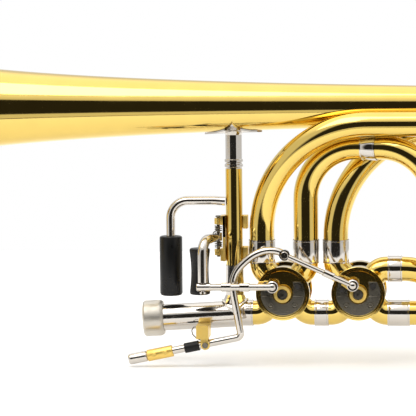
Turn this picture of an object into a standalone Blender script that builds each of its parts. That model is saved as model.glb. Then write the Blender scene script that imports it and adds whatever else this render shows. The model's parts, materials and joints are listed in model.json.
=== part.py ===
"""The bell section of a bass trombone with two in-line rotary valves.

Sizes are in millimetres and the helpers turn them into metres. +X runs from the flare to the main
tuning slide, +Z is up, and the player's levers face -Y. The origin is the centre of the mouth of
the slide receiver.
"""

import math

import bmesh
import bpy
from mathutils import Matrix, Vector

MM = 0.001

# Clearances between pieces that touch or turn
GAP = 0.3
BORE_GAP = 0.4
FERRULE_GAP = 0.35

# Bell
BELL_AXIS_Z = 149.3
BELL_RIM_X = -277.0
BELL_RIM_RADIUS = 120.65
BELL_TAIL_X = 268.0
FLARE_LENGTH = 28.0
FLARE_POWER = 0.753
BELL_WALL = 0.8
BEAD_RADIUS = 2.0

# Valve tubing
TUBE_RADIUS = 8.6
TUBE_WALL = 0.85
VALVE_LINE_Z = 4.2
FERRULE_WALL = 0.28

# Slide receiver
RECEIVER_RISE = math.radians(3.1)
RECEIVER_RADIUS = 9.3
RECEIVER_BORE = 8.3
RECEIVER_START = 1.5
RECEIVER_END = 67.4
NUT_RADIUS = 12.65
NUT_LENGTH = 14.0
NUT_FLANGE_RADIUS = 10.3
NUT_FLANGE_AT = 6.5
NUT_FLANGE_WIDTH = 1.5
RECEIVER_FERRULE_X = (68.2, 77.1)

# Brace and left-hand rest
BRACE_X = 64.2
BRACE_RADIUS = 5.85
BRACE_WALL = 1.0
BRACE_BOTTOM = 17.5
BRACE_TOP = 105.7
SPIGOT_RADIUS = 4.9
SPIGOT_LENGTH = 14.0
SADDLE_SOCKET_RADIUS = 5.75
SADDLE_RING_RADIUS = 6.4
SADDLE_HALF_LENGTH = 20.0
SADDLE_HALF_WIDTH = 14.6
SADDLE_WALL = 1.1
FOOT_RADIUS = 6.5
FOOT_TOP = 38.1
FOOT_FLANGE_RADIUS = 9.5
FOOT_FLANGE_WALL = 1.2
BAR_RADIUS = 3.15
BAR_Z = 83.4
BAR_END_Z = 82.4
BAR_BEND = 12.5
GRIP_X = 19.4
GRIP_RADIUS = 7.95
GRIP_TOP = 58.5
GRIP_BOTTOM = 16.6

# Rotary valves
VALVE_X = (99.0, 151.4)
VALVE_Z = 20.2
CASING_RADIUS = 17.5
CASING_BORE = 15.9
RIM_RADIUS = 18.7
CASING_BACK = 16.3
CASING_FRONT = -16.3
RIM_FRONT = -21.2
FACE_Y = -19.5
ROTOR_RADIUS = 15.5
ROTOR_FRONT = -14.6
ROTOR_BACK = 11.7
PASSAGE_RADIUS = 6.6
PASSAGE_ARC = 17.0
SPINDLE_RADIUS = 3.0
SPINDLE_HEAD_RADIUS = 3.4
SPINDLE_FRONT = -26.0
SPINDLE_BACK = 16.5
CAP_RADIUS = 18.9
CAP_BACK = 20.0
CAP_EDGE = 10.2
PLATE_BACK = -19.8
PLATE_FRONT = -21.3
BUMPER_RADIUS = 2.1
BUMPER_AT = 11.4
BUMPER_FRONT = -22.9
BUMPER_ANGLES = (26.0, 164.0)
ARM_BACK = -21.6
ARM_FRONT = -24.0
HUB_RADIUS = 5.9
HUB_FRONT = -25.6
BOSS_Y = (-25.4, -23.2)
LOBE_REACH = 13.5
LOBE_HALF_ANGLE = 10.5
LOBE_ANGLE = 140.0
ARM_PINS = ((8.7, 140.0), (7.6, 117.6))
ARM_PIN_RADIUS = 1.6
KNUCKLE_BEND = 9.2
KNUCKLE_ROOT = 12.0

# Valve loops
RISER_X = 83.5
CROOK_X = 114.4
GB_CROOK_X = 135.2
GB_RETURN_Z = 35.2
FERRULE_Z = (39.6, 55.9)
RISER_ARC_Z = 61.9
F_UPPER_Z = 137.9
F_LOWER_Z = 45.9
F_SIDE_Y = -23.0
CROOK_BEND = 37.0
CROWN_Z = 121.4
CROWN_LENGTH = 16.6
CROWN_FERRULE_LENGTH = 10.5
RETURN_BEND = 30.0
GB_ARC_Z = 58.0
GB_UPPER_Z = 132.0
GB_LOWER_Z = 8.0
GB_SIDE_Y = 20.0
GB_RETURN_FERRULE_X = (171.4, 181.5)
GB_DROP_X = (199.0, 219.0)
INTERVALVE_FERRULE_X = (120.3, 130.0)
OUTPUT_FERRULE_X = (171.2, 186.6)

# Tuning slides
SLEEVE_WALL = 0.8
F_SLEEVE_X = (238.0, 326.0)
GB_SLEEVE_X = (240.0, 316.0)
SLEEVE_GRIP = 7.0
F_BOW_X = 330.0
GB_BOW_X = 320.0
MAIN_LOWER_RADIUS = 9.0
MAIN_UPPER_RADIUS = 11.2
MAIN_SLEEVE_X = (262.0, 314.0)
MAIN_BOW_X = 318.0
MAIN_BRACE_X = 327.0
COLLAR_LENGTH = 12.0
STAY_RADIUS = 2.6
STAY_X = 248.0
BRACE_STAY_X = 296.0

# Thumb lever of the first valve
HINGE1 = Vector((52.9, 0.0))
HINGE1_POSTS = (68.9, 47.1)
POST_RADIUS = 2.7
PIN1_RADIUS = 1.2
HUB1_RADIUS = 2.6
HUB1_Z = (55.2, 60.8)
ARM1_RADIUS = 3.5
ARM1_CORNER = Vector((44.1, -28.8, 58.0))
ARM1_BOTTOM = 29.0
PAD_CENTRE = Vector((41.2, -17.0))
PAD_Z = (19.4, 51.7)
PAD_RADIUS = 7.1
PAD_WAIST = 6.1
STUB_Z = 36.0
STUB_RADIUS = 1.8
LINK1_Z = 25.8
LINK_PLANE_Y = -28.8
LINK_RADIUS = 2.4
FITTING_RADIUS = 2.9
FITTING_X = (39.8, 49.5)
LINK_PIN_RADIUS = 1.3
LINK_HOLE_RADIUS = 1.75
EYE_RADIUS = 4.1
SPRING1_RADIUS = 2.3
SPRING1_WIRE = 0.4
SPRING1_PITCH = 1.25
SPRING1_TURNS = 3

# Finger lever of the second valve
HINGE2 = Vector((45.2, -15.1))
LEVER2_Y = -22.8
ROD2_RADIUS = 2.35
ROD2_LEFT = Vector((-8.2, -25.7))
ARC2 = (
    (70.0, -9.7),
    (69.3, -5.5),
    (67.9, 3.0),
    (66.4, 12.1),
    (65.0, 20.5),
    (64.6, 28.3),
    (67.0, 35.6),
    (72.3, 41.9),
    (79.4, 47.4),
    (87.1, 50.3),
    (94.8, 50.3),
    (100.8, 47.9),
)
HUB2_RADIUS = 3.6
HUB2_Y = (-24.9, -19.9)
EAR_FRONT_Y = (-27.6, -25.6)
EAR_BACK_Y = (-19.6, -17.6)
EAR_RADIUS = 3.2
EAR_HOLE = 1.75
PIN2_RADIUS = 1.4
BLOCK2_X = (39.0, 47.4)
BLOCK2_Z = (-10.8, -1.5)
TIP_LENGTH = 13.0
TIP_RADIUS = 3.75
CLAMP_AT = (13.0, 31.0)
CLAMP_RADIUS = 4.0
SLEEVE2_AT = (39.5, 50.0)
SLEEVE2_RADIUS = 3.5
LINK2_Y = -27.0
EYE2_RADIUS = 3.4
EYE2_BEHIND = 2.6
LINK2_PIN_REACH = (2.4, 4.0)
LINK2_HEAD_RADIUS = 2.6
LINK2_HEAD_REACH = (2.7, 1.5)
SPRING2_RADIUS = 2.5
SPRING2_WIRE = 0.4
SPRING2_PITCH = 1.3
SPRING2_TURNS = 3

# Facets
BELL_STEPS = 24
VALVE_STEPS = 24
ROUND_STEPS = 16
SMALL_STEPS = 8
TUBE_SIDES = 8
ARC_STEP = math.radians(22.5)

# Colours, roughness and metallic value of each finish
BRASS = ((0.83, 0.60, 0.17), 0.16, 1.0)
NICKEL = ((0.80, 0.76, 0.70), 0.18, 1.0)
SATIN_NICKEL = ((0.72, 0.69, 0.62), 0.38, 1.0)
STEEL = ((0.45, 0.43, 0.40), 0.30, 1.0)
BLACK_GRIP = ((0.012, 0.012, 0.012), 0.45, 0.0)
RUBBER = ((0.02, 0.018, 0.016), 0.70, 0.0)

for old in list(bpy.data.objects):
    bpy.data.objects.remove(old, do_unlink=True)
PARTS = bpy.data.collections.new("bass_trombone")
CUTTERS = bpy.data.collections.new("cutters")
bpy.context.scene.collection.children.link(PARTS)
bpy.context.scene.collection.children.link(CUTTERS)


# Helpers


def new_object(name, data, matrix=None):
    """A helper shape, kept out of the render until it is named as a piece."""
    made = bpy.data.objects.new(name, data)
    CUTTERS.objects.link(made)
    made.hide_render = True
    made.display_type = "WIRE"
    if matrix is not None:
        made.matrix_world = matrix
    return made


def piece(name, shape, finish):
    """The shape becomes the piece of this name, with its own material."""
    colour, roughness, metallic = finish
    shape.name = name
    CUTTERS.objects.unlink(shape)
    PARTS.objects.link(shape)
    shape.hide_render = False
    shape.display_type = "TEXTURED"
    material = bpy.data.materials.new(name)
    material.use_nodes = True
    shader = material.node_tree.nodes["Principled BSDF"]
    shader.inputs["Base Color"].default_value = (*colour, 1.0)
    shader.inputs["Roughness"].default_value = roughness
    shader.inputs["Metallic"].default_value = metallic
    shape.data.materials.clear()
    shape.data.materials.append(material)
    return shape


def along(origin, direction):
    """Matrix that puts local Z along the direction, at the origin."""
    turn = Vector(direction).to_track_quat("Z", "Y").to_matrix().to_4x4()
    return Matrix.Translation(Vector(origin) * MM) @ turn


def smooth_mesh(name, bm, matrix=None):
    mesh = bpy.data.meshes.new(name)
    bm.to_mesh(mesh)
    bm.free()
    mesh.shade_smooth()
    mesh.set_sharp_from_angle(angle=math.radians(40))
    return new_object(name, mesh, matrix)


def box(low, high):
    bm = bmesh.new()
    bmesh.ops.create_cube(bm, size=1.0)
    low, high = Vector(low), Vector(high)
    bmesh.ops.scale(bm, vec=(high - low) * MM, verts=bm.verts)
    bmesh.ops.translate(bm, vec=(low + high) / 2 * MM, verts=bm.verts)
    return smooth_mesh("box", bm)


def rod(start, end, radius, end_radius=None, sides=SMALL_STEPS):
    start, end = Vector(start), Vector(end)
    end_radius = radius if end_radius is None else end_radius
    bm = bmesh.new()
    bmesh.ops.create_cone(
        bm,
        cap_ends=True,
        segments=sides,
        radius1=radius * MM,
        radius2=end_radius * MM,
        depth=(end - start).length * MM,
    )
    return smooth_mesh("rod", bm, along((start + end) / 2, end - start))


def turned(profile, origin, direction, steps=ROUND_STEPS):
    """A closed profile of (along, radius) turned about the direction, its outer side listed first."""
    bm = bmesh.new()
    points = [bm.verts.new((radius * MM, 0.0, at * MM)) for at, radius in profile]
    for start, end in zip(points, points[1:] + points[:1]):
        bm.edges.new((start, end))
    mesh = bpy.data.meshes.new("turned")
    bm.to_mesh(mesh)
    bm.free()
    made = new_object("turned", mesh, along(origin, direction))
    screw = made.modifiers.new("turn", "SCREW")
    screw.axis = "Z"
    screw.angle = math.tau
    screw.steps = steps
    screw.render_steps = steps
    screw.use_merge_vertices = True
    screw.merge_threshold = 1e-6
    return made


def ring(start, end, outer, inner, origin=(0, 0, 0), direction=(0, 0, 1), steps=ROUND_STEPS):
    return turned(
        [(end, outer), (start, outer), (start, inner), (end, inner)], origin, direction, steps
    )


def prism(outline, depth, matrix):
    """A flat outline of (x, y) points in the matrix's plane, with this thickness about it."""
    curve = bpy.data.curves.new("outline", "CURVE")
    curve.dimensions = "2D"
    curve.fill_mode = "BOTH"
    curve.extrude = depth / 2 * MM
    spline = curve.splines.new("POLY")
    spline.points.add(len(outline) - 1)
    for point, (x, y) in zip(spline.points, outline):
        point.co = (x * MM, y * MM, 0.0, 1.0)
    spline.use_cyclic_u = True
    return as_mesh(new_object("outline", curve, matrix))


def as_mesh(shape):
    """The evaluated shape as a mesh, its loose caps welded, so that a Boolean can use it."""
    bpy.context.view_layer.update()
    graph = bpy.context.evaluated_depsgraph_get()
    mesh = bpy.data.meshes.new_from_object(shape.evaluated_get(graph))
    bm = bmesh.new()
    bm.from_mesh(mesh)
    bmesh.ops.remove_doubles(bm, verts=bm.verts, dist=1e-6)
    bmesh.ops.recalc_face_normals(bm, faces=bm.faces)
    made = smooth_mesh(shape.name, bm, shape.matrix_world.copy())
    bpy.data.objects.remove(shape, do_unlink=True)
    return made


def sweep(points, radius, radii=None, caps=True, resolution=None):
    """A round bar or an open tube along the points."""
    curve = bpy.data.curves.new("sweep", "CURVE")
    curve.dimensions = "3D"
    curve.fill_mode = "FULL"
    curve.bevel_depth = radius * MM
    curve.bevel_resolution = (TUBE_SIDES - 4) // 2 if resolution is None else resolution
    curve.use_fill_caps = caps
    spline = curve.splines.new("POLY")
    spline.points.add(len(points) - 1)
    for index, (point, place) in enumerate(zip(spline.points, points)):
        point.co = (*(Vector(place) * MM), 1.0)
        point.radius = 1.0 if radii is None else radii[index] / radius
    return new_object("sweep", curve)


def tube(points, radius, wall, radii=None):
    """An open tube with a wall, drawn inwards from its outer radius."""
    made = sweep(points, radius, radii, caps=False)
    solidify = made.modifiers.new("wall", "SOLIDIFY")
    solidify.thickness = wall * MM
    solidify.offset = -1.0
    return made


def wire(points, radius):
    return sweep(points, radius, resolution=1)


def boolean(shape, operation, *others):
    for other in others:
        modifier = shape.modifiers.new(operation.lower(), "BOOLEAN")
        modifier.operation = operation
        modifier.object = other
    return shape


def join(shape, *others):
    return boolean(shape, "UNION", *others)


def cut(shape, *others):
    return boolean(shape, "DIFFERENCE", *others)


def common(shape, *others):
    return boolean(shape, "INTERSECT", *others)


def polar(radius, degrees):
    return Vector((radius * math.cos(math.radians(degrees)), radius * math.sin(math.radians(degrees))))


def ease(share):
    share = min(max(share, 0.0), 1.0)
    return share * share * (3 - 2 * share)


def rounded(corners, radius):
    """The corner points as one path, each inner corner an arc of this radius."""
    corners = [Vector(corner) for corner in corners]
    path = [corners[0]]
    for before, corner, after in zip(corners, corners[1:], corners[2:]):
        incoming = (corner - before).normalized()
        outgoing = (after - corner).normalized()
        bend = incoming.angle(outgoing)
        reach = radius * math.tan(bend / 2)
        inward = (outgoing - incoming).normalized()
        centre = corner + inward * (radius / math.cos(bend / 2))
        steps = max(2, round(bend / ARC_STEP))
        start = corner - incoming * reach - centre
        axis = incoming.cross(outgoing).normalized()
        for step in range(steps + 1):
            path.append(centre + Matrix.Rotation(bend * step / steps, 3, axis) @ start)
    path.append(corners[-1])
    return path


def quarter(centre, radius, start, end, steps=7):
    """(x, z) points of an arc between two angles in degrees."""
    turn = [start + (end - start) * step / steps for step in range(steps + 1)]
    return [Vector(centre) + polar(radius, angle) for angle in turn]


def least_gap(points, wire_radius):
    """The least gap between stretches of a wire that lie more than half a turn apart."""
    lengths = [0.0]
    for start, end in zip(points, points[1:]):
        lengths.append(lengths[-1] + (end - start).length)
    apart = 8 * wire_radius
    gaps = [
        (points[i] - points[j]).length
        for i in range(len(points))
        for j in range(i)
        if lengths[i] - lengths[j] > apart
    ]
    return min(gaps) - 2 * wire_radius


# Bell, brace and rest


def bell_radius(x):
    return BELL_RIM_RADIUS * (FLARE_LENGTH / (FLARE_LENGTH + x - BELL_RIM_X)) ** FLARE_POWER


def bell_x(radius):
    """Where the flare has this radius."""
    return BELL_RIM_X + FLARE_LENGTH * ((radius / BELL_RIM_RADIUS) ** (-1 / FLARE_POWER) - 1)


def bell_point(x, offset):
    """(x, radius) this far outside the flare's outer skin."""
    slope = -FLARE_POWER * bell_radius(x) / (FLARE_LENGTH + x - BELL_RIM_X)
    length = math.hypot(slope, 1.0)
    return (x - offset * slope / length, bell_radius(x) + offset / length)


def make_bell():
    skin_start = bell_x(BELL_RIM_RADIUS - 2.3 * BEAD_RADIUS)
    span = math.log((FLARE_LENGTH + BELL_TAIL_X - BELL_RIM_X) / (FLARE_LENGTH + skin_start - BELL_RIM_X))
    steps = 15
    places = [
        BELL_RIM_X - FLARE_LENGTH + (FLARE_LENGTH + BELL_TAIL_X - BELL_RIM_X) * math.exp(-span * step / steps)
        for step in range(steps + 1)
    ]
    outer = [bell_point(x, 0.0) for x in places]
    bead = [
        (
            BELL_RIM_X + BEAD_RADIUS + BEAD_RADIUS * math.cos(math.radians(angle)),
            BELL_RIM_RADIUS - BEAD_RADIUS + BEAD_RADIUS * math.sin(math.radians(angle)),
        )
        for angle in (-50, 0, 45, 90, 135, 180)
    ]
    inner = [bell_point(x, -BELL_WALL) for x in reversed(places)]
    bell = turned(outer + bead + inner, (0, 0, BELL_AXIS_Z), (1, 0, 0), BELL_STEPS)
    return piece("bell", bell, BRASS)


def make_bell_saddle():
    places = [BRACE_X + SADDLE_HALF_LENGTH * share for share in (1.1, 0.55, 0.0, -0.55, -1.1)]
    outer = [bell_point(x, GAP + SADDLE_WALL) for x in places]
    inner = [bell_point(x, GAP) for x in reversed(places)]
    flange = turned(outer + inner, (0, 0, BELL_AXIS_Z), (1, 0, 0), BELL_STEPS)
    corners = []
    for quadrant, (side_x, side_y) in enumerate(((1, 1), (-1, 1), (-1, -1), (1, -1))):
        shares = (0.0, 0.10, 0.25, 0.55) if quadrant % 2 == 0 else (1.0, 0.55, 0.25, 0.10)
        for share in shares:
            corners.append(
                (
                    side_x * SADDLE_HALF_LENGTH * (1 - share) ** 1.6 if share < 1 else 0.0,
                    side_y * max(SADDLE_HALF_WIDTH * share**0.8, 0.9 if share == 0 else 0.0),
                )
            )
    plan = prism(corners, BELL_AXIS_Z - BRACE_TOP, Matrix.Translation(
        Vector((BRACE_X, 0, (BELL_AXIS_Z + BRACE_TOP) / 2)) * MM))
    common(flange, plan)
    top = BELL_AXIS_Z - bell_radius(BRACE_X)
    bore = SPIGOT_RADIUS + GAP
    socket = turned(
        [
            (top + 1.5, SADDLE_SOCKET_RADIUS + 2.6),
            (top - 0.8, SADDLE_SOCKET_RADIUS + 1.0),
            (top - 2.4, SADDLE_SOCKET_RADIUS),
            (BRACE_TOP + 7.0, SADDLE_SOCKET_RADIUS),
            (BRACE_TOP + 6.4, SADDLE_RING_RADIUS),
            (BRACE_TOP + 5.0, SADDLE_RING_RADIUS),
            (BRACE_TOP + 4.4, SADDLE_SOCKET_RADIUS),
            (BRACE_TOP + 3.6, SADDLE_SOCKET_RADIUS),
            (BRACE_TOP + 3.0, SADDLE_RING_RADIUS),
            (BRACE_TOP + 1.6, SADDLE_RING_RADIUS),
            (BRACE_TOP + 1.0, SADDLE_SOCKET_RADIUS),
            (BRACE_TOP + GAP, SADDLE_SOCKET_RADIUS),
            (BRACE_TOP + GAP, bore),
            (BRACE_TOP + SPIGOT_LENGTH + 2.0, bore),
            (BRACE_TOP + SPIGOT_LENGTH + 4.0, 0.6),
            (top + 1.5, 0.6),
        ],
        (BRACE_X, 0, 0),
        (0, 0, 1),
        16,
    )
    join(socket, flange)
    room = turned(
        [bell_point(x, GAP + 0.02) for x in places] + [(places[-1], 0.2), (places[0], 0.2)],
        (0, 0, BELL_AXIS_Z),
        (1, 0, 0),
        BELL_STEPS,
    )
    cut(socket, room)
    return piece("bell_saddle", socket, NICKEL)


def make_brace():
    bore = SPIGOT_RADIUS - BRACE_WALL
    profile = [
        (BRACE_TOP + SPIGOT_LENGTH, SPIGOT_RADIUS),
        (BRACE_TOP, SPIGOT_RADIUS),
        (BRACE_TOP, BRACE_RADIUS),
        (BRACE_BOTTOM, BRACE_RADIUS),
        (BRACE_BOTTOM, bore),
        (BRACE_TOP + SPIGOT_LENGTH, bore),
    ]
    piece("brace_tube", turned(profile, (BRACE_X, 0, 0), (0, 0, 1)), BRASS)


def receiver_axis():
    return Vector((math.cos(RECEIVER_RISE), 0, math.sin(RECEIVER_RISE)))


def receiver_room(radius):
    """A bar along the receiver's axis, for cutting what seats on it."""
    axis = receiver_axis()
    return rod(axis * -10, axis * (RECEIVER_END + 30), radius, sides=32)


def make_brace_foot():
    socket = FOOT_RADIUS - GAP
    centre_z = math.tan(RECEIVER_RISE) * BRACE_X
    seat = centre_z + RECEIVER_RADIUS
    foot = turned(
        [
            (FOOT_TOP, FOOT_RADIUS),
            (seat + 4.5, FOOT_RADIUS),
            (seat + 1.6, FOOT_RADIUS + 1.2),
            (seat - 1.0, FOOT_RADIUS + 2.4),
            (seat - 1.0, 0.8),
            (BRACE_BOTTOM - GAP, 0.8),
            (BRACE_BOTTOM - GAP, socket),
            (FOOT_TOP, socket),
        ],
        (BRACE_X, 0, 0),
        (0, 0, 1),
    )
    axis = receiver_axis()
    flange = rod(axis * (BRACE_X - 11.5), axis * (BRACE_X + 11.5), RECEIVER_RADIUS + GAP + FOOT_FLANGE_WALL, sides=32)
    common(flange, rod((BRACE_X, 0, centre_z), (BRACE_X, 0, FOOT_TOP), FOOT_FLANGE_RADIUS, sides=ROUND_STEPS))
    join(foot, flange)
    ferrule = TUBE_RADIUS + FERRULE_GAP + FERRULE_WALL + GAP + 0.1
    start = (RECEIVER_FERRULE_X[0] - GAP, 0, VALVE_LINE_Z)
    end = (RECEIVER_FERRULE_X[1] + 4, 0, VALVE_LINE_Z)
    cut(foot, receiver_room(RECEIVER_RADIUS + GAP), rod(start, end, ferrule, sides=ROUND_STEPS))
    piece("brace_foot", foot, NICKEL)


def make_rest():
    bar = as_mesh(
        sweep(
            rounded(
                [(BRACE_X, 0, BAR_END_Z), (BRACE_X - 14, 0, BAR_Z), (GRIP_X, 0, BAR_Z), (GRIP_X, 0, GRIP_BOTTOM + 8)],
                BAR_BEND,
            ),
            BAR_RADIUS,
        )
    )
    cut(bar, rod((BRACE_X, 0, BAR_Z - 20), (BRACE_X, 0, BAR_Z + 20), BRACE_RADIUS + GAP, sides=ROUND_STEPS))
    piece("grip_bar", bar, NICKEL)
    hole = BAR_RADIUS + GAP
    profile = [
        (GRIP_TOP, GRIP_RADIUS - 1.2),
        (GRIP_TOP - 1.2, GRIP_RADIUS),
        (GRIP_BOTTOM + 1.8, GRIP_RADIUS),
        (GRIP_BOTTOM, GRIP_RADIUS - 1.8),
        (GRIP_BOTTOM, 0.5),
        (GRIP_BOTTOM + 8 - GAP, 0.5),
        (GRIP_BOTTOM + 8 - GAP, hole),
        (GRIP_TOP, hole),
    ]
    piece("grip_sleeve", turned(profile, (GRIP_X, 0, 0), (0, 0, 1)), BLACK_GRIP)


# Slide receiver


def make_receiver():
    flange = (NUT_FLANGE_AT, NUT_FLANGE_AT + NUT_FLANGE_WIDTH)
    body = turned(
        [
            (RECEIVER_END, RECEIVER_RADIUS),
            (flange[1], RECEIVER_RADIUS),
            (flange[1], NUT_FLANGE_RADIUS),
            (flange[0], NUT_FLANGE_RADIUS),
            (flange[0], RECEIVER_RADIUS),
            (RECEIVER_START, RECEIVER_RADIUS),
            (RECEIVER_START, RECEIVER_BORE),
            (RECEIVER_END, RECEIVER_BORE),
        ],
        (0, 0, 0),
        receiver_axis(),
    )
    piece("receiver_tube", body, NICKEL)
    bore = RECEIVER_RADIUS + BORE_GAP
    groove = NUT_FLANGE_RADIUS + BORE_GAP
    nut = turned(
        [
            (NUT_LENGTH, NUT_RADIUS - 1.2),
            (NUT_LENGTH - 1.4, NUT_RADIUS - 0.3),
            (NUT_LENGTH - 2.6, NUT_RADIUS),
            (1.2, NUT_RADIUS),
            (0.0, NUT_RADIUS - 0.9),
            (0.0, bore),
            (flange[0] - GAP, bore),
            (flange[0] - GAP, groove),
            (flange[1] + GAP, groove),
            (flange[1] + GAP, bore),
            (NUT_LENGTH, bore),
        ],
        (0, 0, 0),
        receiver_axis(),
    )
    moving(piece("receiver_nut", nut, SATIN_NICKEL), NUT_JOINT)
    make_ferrule("receiver_ferrule", *RECEIVER_FERRULE_X, (0, 0, VALVE_LINE_Z), (1, 0, 0))


def make_ferrule(name, start, end, origin, direction, radius=TUBE_RADIUS):
    inner = radius + FERRULE_GAP
    piece(name, ring(start, end, inner + FERRULE_WALL, inner, origin, direction), NICKEL)


# Valves


def ports(index):
    """Each port's corner and end, as (x, z), where its knuckle bends into the line it meets."""
    x = VALVE_X[index]
    low = VALVE_Z - VALVE_LINE_Z
    half = GAP / 2
    if index == 0:
        left, right = RISER_X, CROOK_X
        line = (RECEIVER_FERRULE_X[0] + GAP, sum(INTERVALVE_FERRULE_X) / 2 - half)
    else:
        left, right = GB_CROOK_X, None
        line = (sum(INTERVALVE_FERRULE_X) / 2 + half, sum(OUTPUT_FERRULE_X) / 2 - half)
    top = sum(FERRULE_Z) / 2 - half
    found = [
        ((x - low, VALVE_LINE_Z), (line[0], VALVE_LINE_Z)),
        ((x + low, VALVE_LINE_Z), (line[1], VALVE_LINE_Z)),
        ((left, VALVE_Z + x - left), (left, top)),
    ]
    if right is not None:
        found.append(((right, VALVE_Z + right - x), (right, top)))
    else:
        end = sum(GB_RETURN_FERRULE_X) / 2 - half
        found.append(((x + GB_RETURN_Z - VALVE_Z, GB_RETURN_Z), (end, GB_RETURN_Z)))
    return found


def knuckle(index, corner, end, radius, start, beyond=0.0):
    centre = Vector((VALVE_X[index], VALVE_Z))
    corner, end = Vector(corner), Vector(end)
    root = centre + (corner - centre).normalized() * start
    end = end + (end - corner).normalized() * beyond
    path = rounded([(point.x, 0, point.y) for point in (root, corner, end)], KNUCKLE_BEND)
    return as_mesh(sweep(path, radius))


def make_casing(index):
    hole = SPINDLE_RADIUS + BORE_GAP
    casing = turned(
        [
            (CASING_BACK, CASING_RADIUS),
            (CASING_FRONT, CASING_RADIUS),
            (CASING_FRONT, RIM_RADIUS),
            (RIM_FRONT, RIM_RADIUS),
            (RIM_FRONT, CASING_BORE),
            (FACE_Y, CASING_BORE),
            (FACE_Y, hole),
            (CASING_BACK, hole),
        ],
        (VALVE_X[index], 0, VALVE_Z),
        (0, 1, 0),
        VALVE_STEPS,
    )
    for corner, end in ports(index):
        join(casing, knuckle(index, corner, end, TUBE_RADIUS, KNUCKLE_ROOT))
    chamber = turned(
        [
            (CASING_BACK + 3, CASING_BORE),
            (ROTOR_FRONT - GAP, CASING_BORE),
            (ROTOR_FRONT - GAP, 0.5),
            (CASING_BACK + 3, 0.5),
        ],
        (VALVE_X[index], 0, VALVE_Z),
        (0, 1, 0),
        VALVE_STEPS,
    )
    cut(casing, chamber)
    for corner, end in ports(index):
        cut(casing, knuckle(index, corner, end, TUBE_RADIUS - TUBE_WALL, KNUCKLE_ROOT, beyond=2.0))
    piece(f"valve{index + 1}_casing", casing, BRASS)


def rotor_axis(index):
    return (VALVE_X[index], 0, VALVE_Z)


def make_rotor(index):
    rotor = turned(
        [
            (SPINDLE_BACK, SPINDLE_RADIUS),
            (ROTOR_BACK, SPINDLE_RADIUS),
            (ROTOR_BACK, ROTOR_RADIUS),
            (ROTOR_FRONT, ROTOR_RADIUS),
            (ROTOR_FRONT, SPINDLE_RADIUS),
            (ARM_BACK, SPINDLE_RADIUS),
            (ARM_BACK, SPINDLE_HEAD_RADIUS),
            (SPINDLE_FRONT, SPINDLE_HEAD_RADIUS),
            (SPINDLE_FRONT, 0.6),
            (SPINDLE_FRONT + 3, 0.0),
            (SPINDLE_BACK, 0.0),
        ],
        rotor_axis(index),
        (0, 1, 0),
        VALVE_STEPS,
    )
    centre = PASSAGE_ARC * math.sqrt(2)
    for side in (-1, 1):
        arc = quarter((side * centre, 0), PASSAGE_ARC, 90 + side * 90 - 46, 90 + side * 90 + 46, 6)
        path = [(VALVE_X[index] + point.x, 0, VALVE_Z + point.y) for point in arc]
        cut(rotor, as_mesh(sweep(path, PASSAGE_RADIUS)))
    moving(piece(f"valve{index + 1}_rotor", rotor, STEEL), VALVE_JOINTS[index])


def make_bearing_and_cap(index):
    hole = SPINDLE_RADIUS + BORE_GAP
    inner = CASING_BORE - BORE_GAP
    plate = ring(ROTOR_BACK + GAP, ROTOR_BACK + GAP + 3.2, inner, hole, rotor_axis(index), (0, 1, 0))
    piece(f"valve{index + 1}_bearing_plate", plate, BRASS)
    skirt = CASING_RADIUS + BORE_GAP
    cap = turned(
        [
            (CAP_BACK, 0.0),
            (CAP_BACK, CAP_RADIUS - 1.0),
            (CAP_BACK - 1.0, CAP_RADIUS),
            (CAP_EDGE, CAP_RADIUS),
            (CAP_EDGE, skirt),
            (CASING_BACK + GAP, skirt),
            (CASING_BACK + GAP, SPINDLE_RADIUS + 2.0),
            (CASING_BACK + 1.3, SPINDLE_RADIUS + 2.0),
            (CASING_BACK + 1.3, 0.0),
        ],
        rotor_axis(index),
        (0, 1, 0),
        VALVE_STEPS,
    )
    piece(f"valve{index + 1}_cap", cap, BRASS)


def make_bumpers(index):
    x = VALVE_X[index]
    edge = CASING_BORE - GAP * 2
    middle = (PLATE_BACK + PLATE_FRONT) / 2
    plate = rod((x, PLATE_FRONT, VALVE_Z), (x, PLATE_BACK, VALVE_Z), edge, sides=VALVE_STEPS)
    ear_inside, ear_top, step_z = 7.1, 8.3, -1.6
    cut(
        plate,
        box((x - ear_inside, middle - 3, VALVE_Z + step_z), (x + ear_inside, middle + 3, VALVE_Z + 30)),
        box((x - 30, middle - 3, VALVE_Z + ear_top), (x + 30, middle + 3, VALVE_Z + 30)),
        box((x - 30, PLATE_FRONT - 3, VALVE_Z + step_z), (x + 30, PLATE_FRONT + 0.35, VALVE_Z + 30)),
        rod((x, middle - 3, VALVE_Z), (x, middle + 3, VALVE_Z), HUB_RADIUS + 1.1, sides=ROUND_STEPS),
    )
    screw_at = 8.3
    for side in (-1, 1):
        head = rod(
            (x + side * screw_at, PLATE_FRONT - 0.5, VALVE_Z - screw_at),
            (x + side * screw_at, middle, VALVE_Z - screw_at),
            2.2,
        )
        join(plate, head)
    for angle, side in zip(BUMPER_ANGLES, ("right", "left")):
        at = polar(BUMPER_AT, angle)
        start = (x + at.x, BUMPER_FRONT, VALVE_Z + at.y)
        end = (x + at.x, PLATE_BACK, VALVE_Z + at.y)
        cut(plate, rod(start, (end[0], PLATE_BACK + 1, end[2]), BUMPER_RADIUS + GAP))
        piece(f"valve{index + 1}_bumper_{side}", rod(start, end, BUMPER_RADIUS), RUBBER)
    piece(f"valve{index + 1}_bumper_plate", plate, STEEL)


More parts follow.
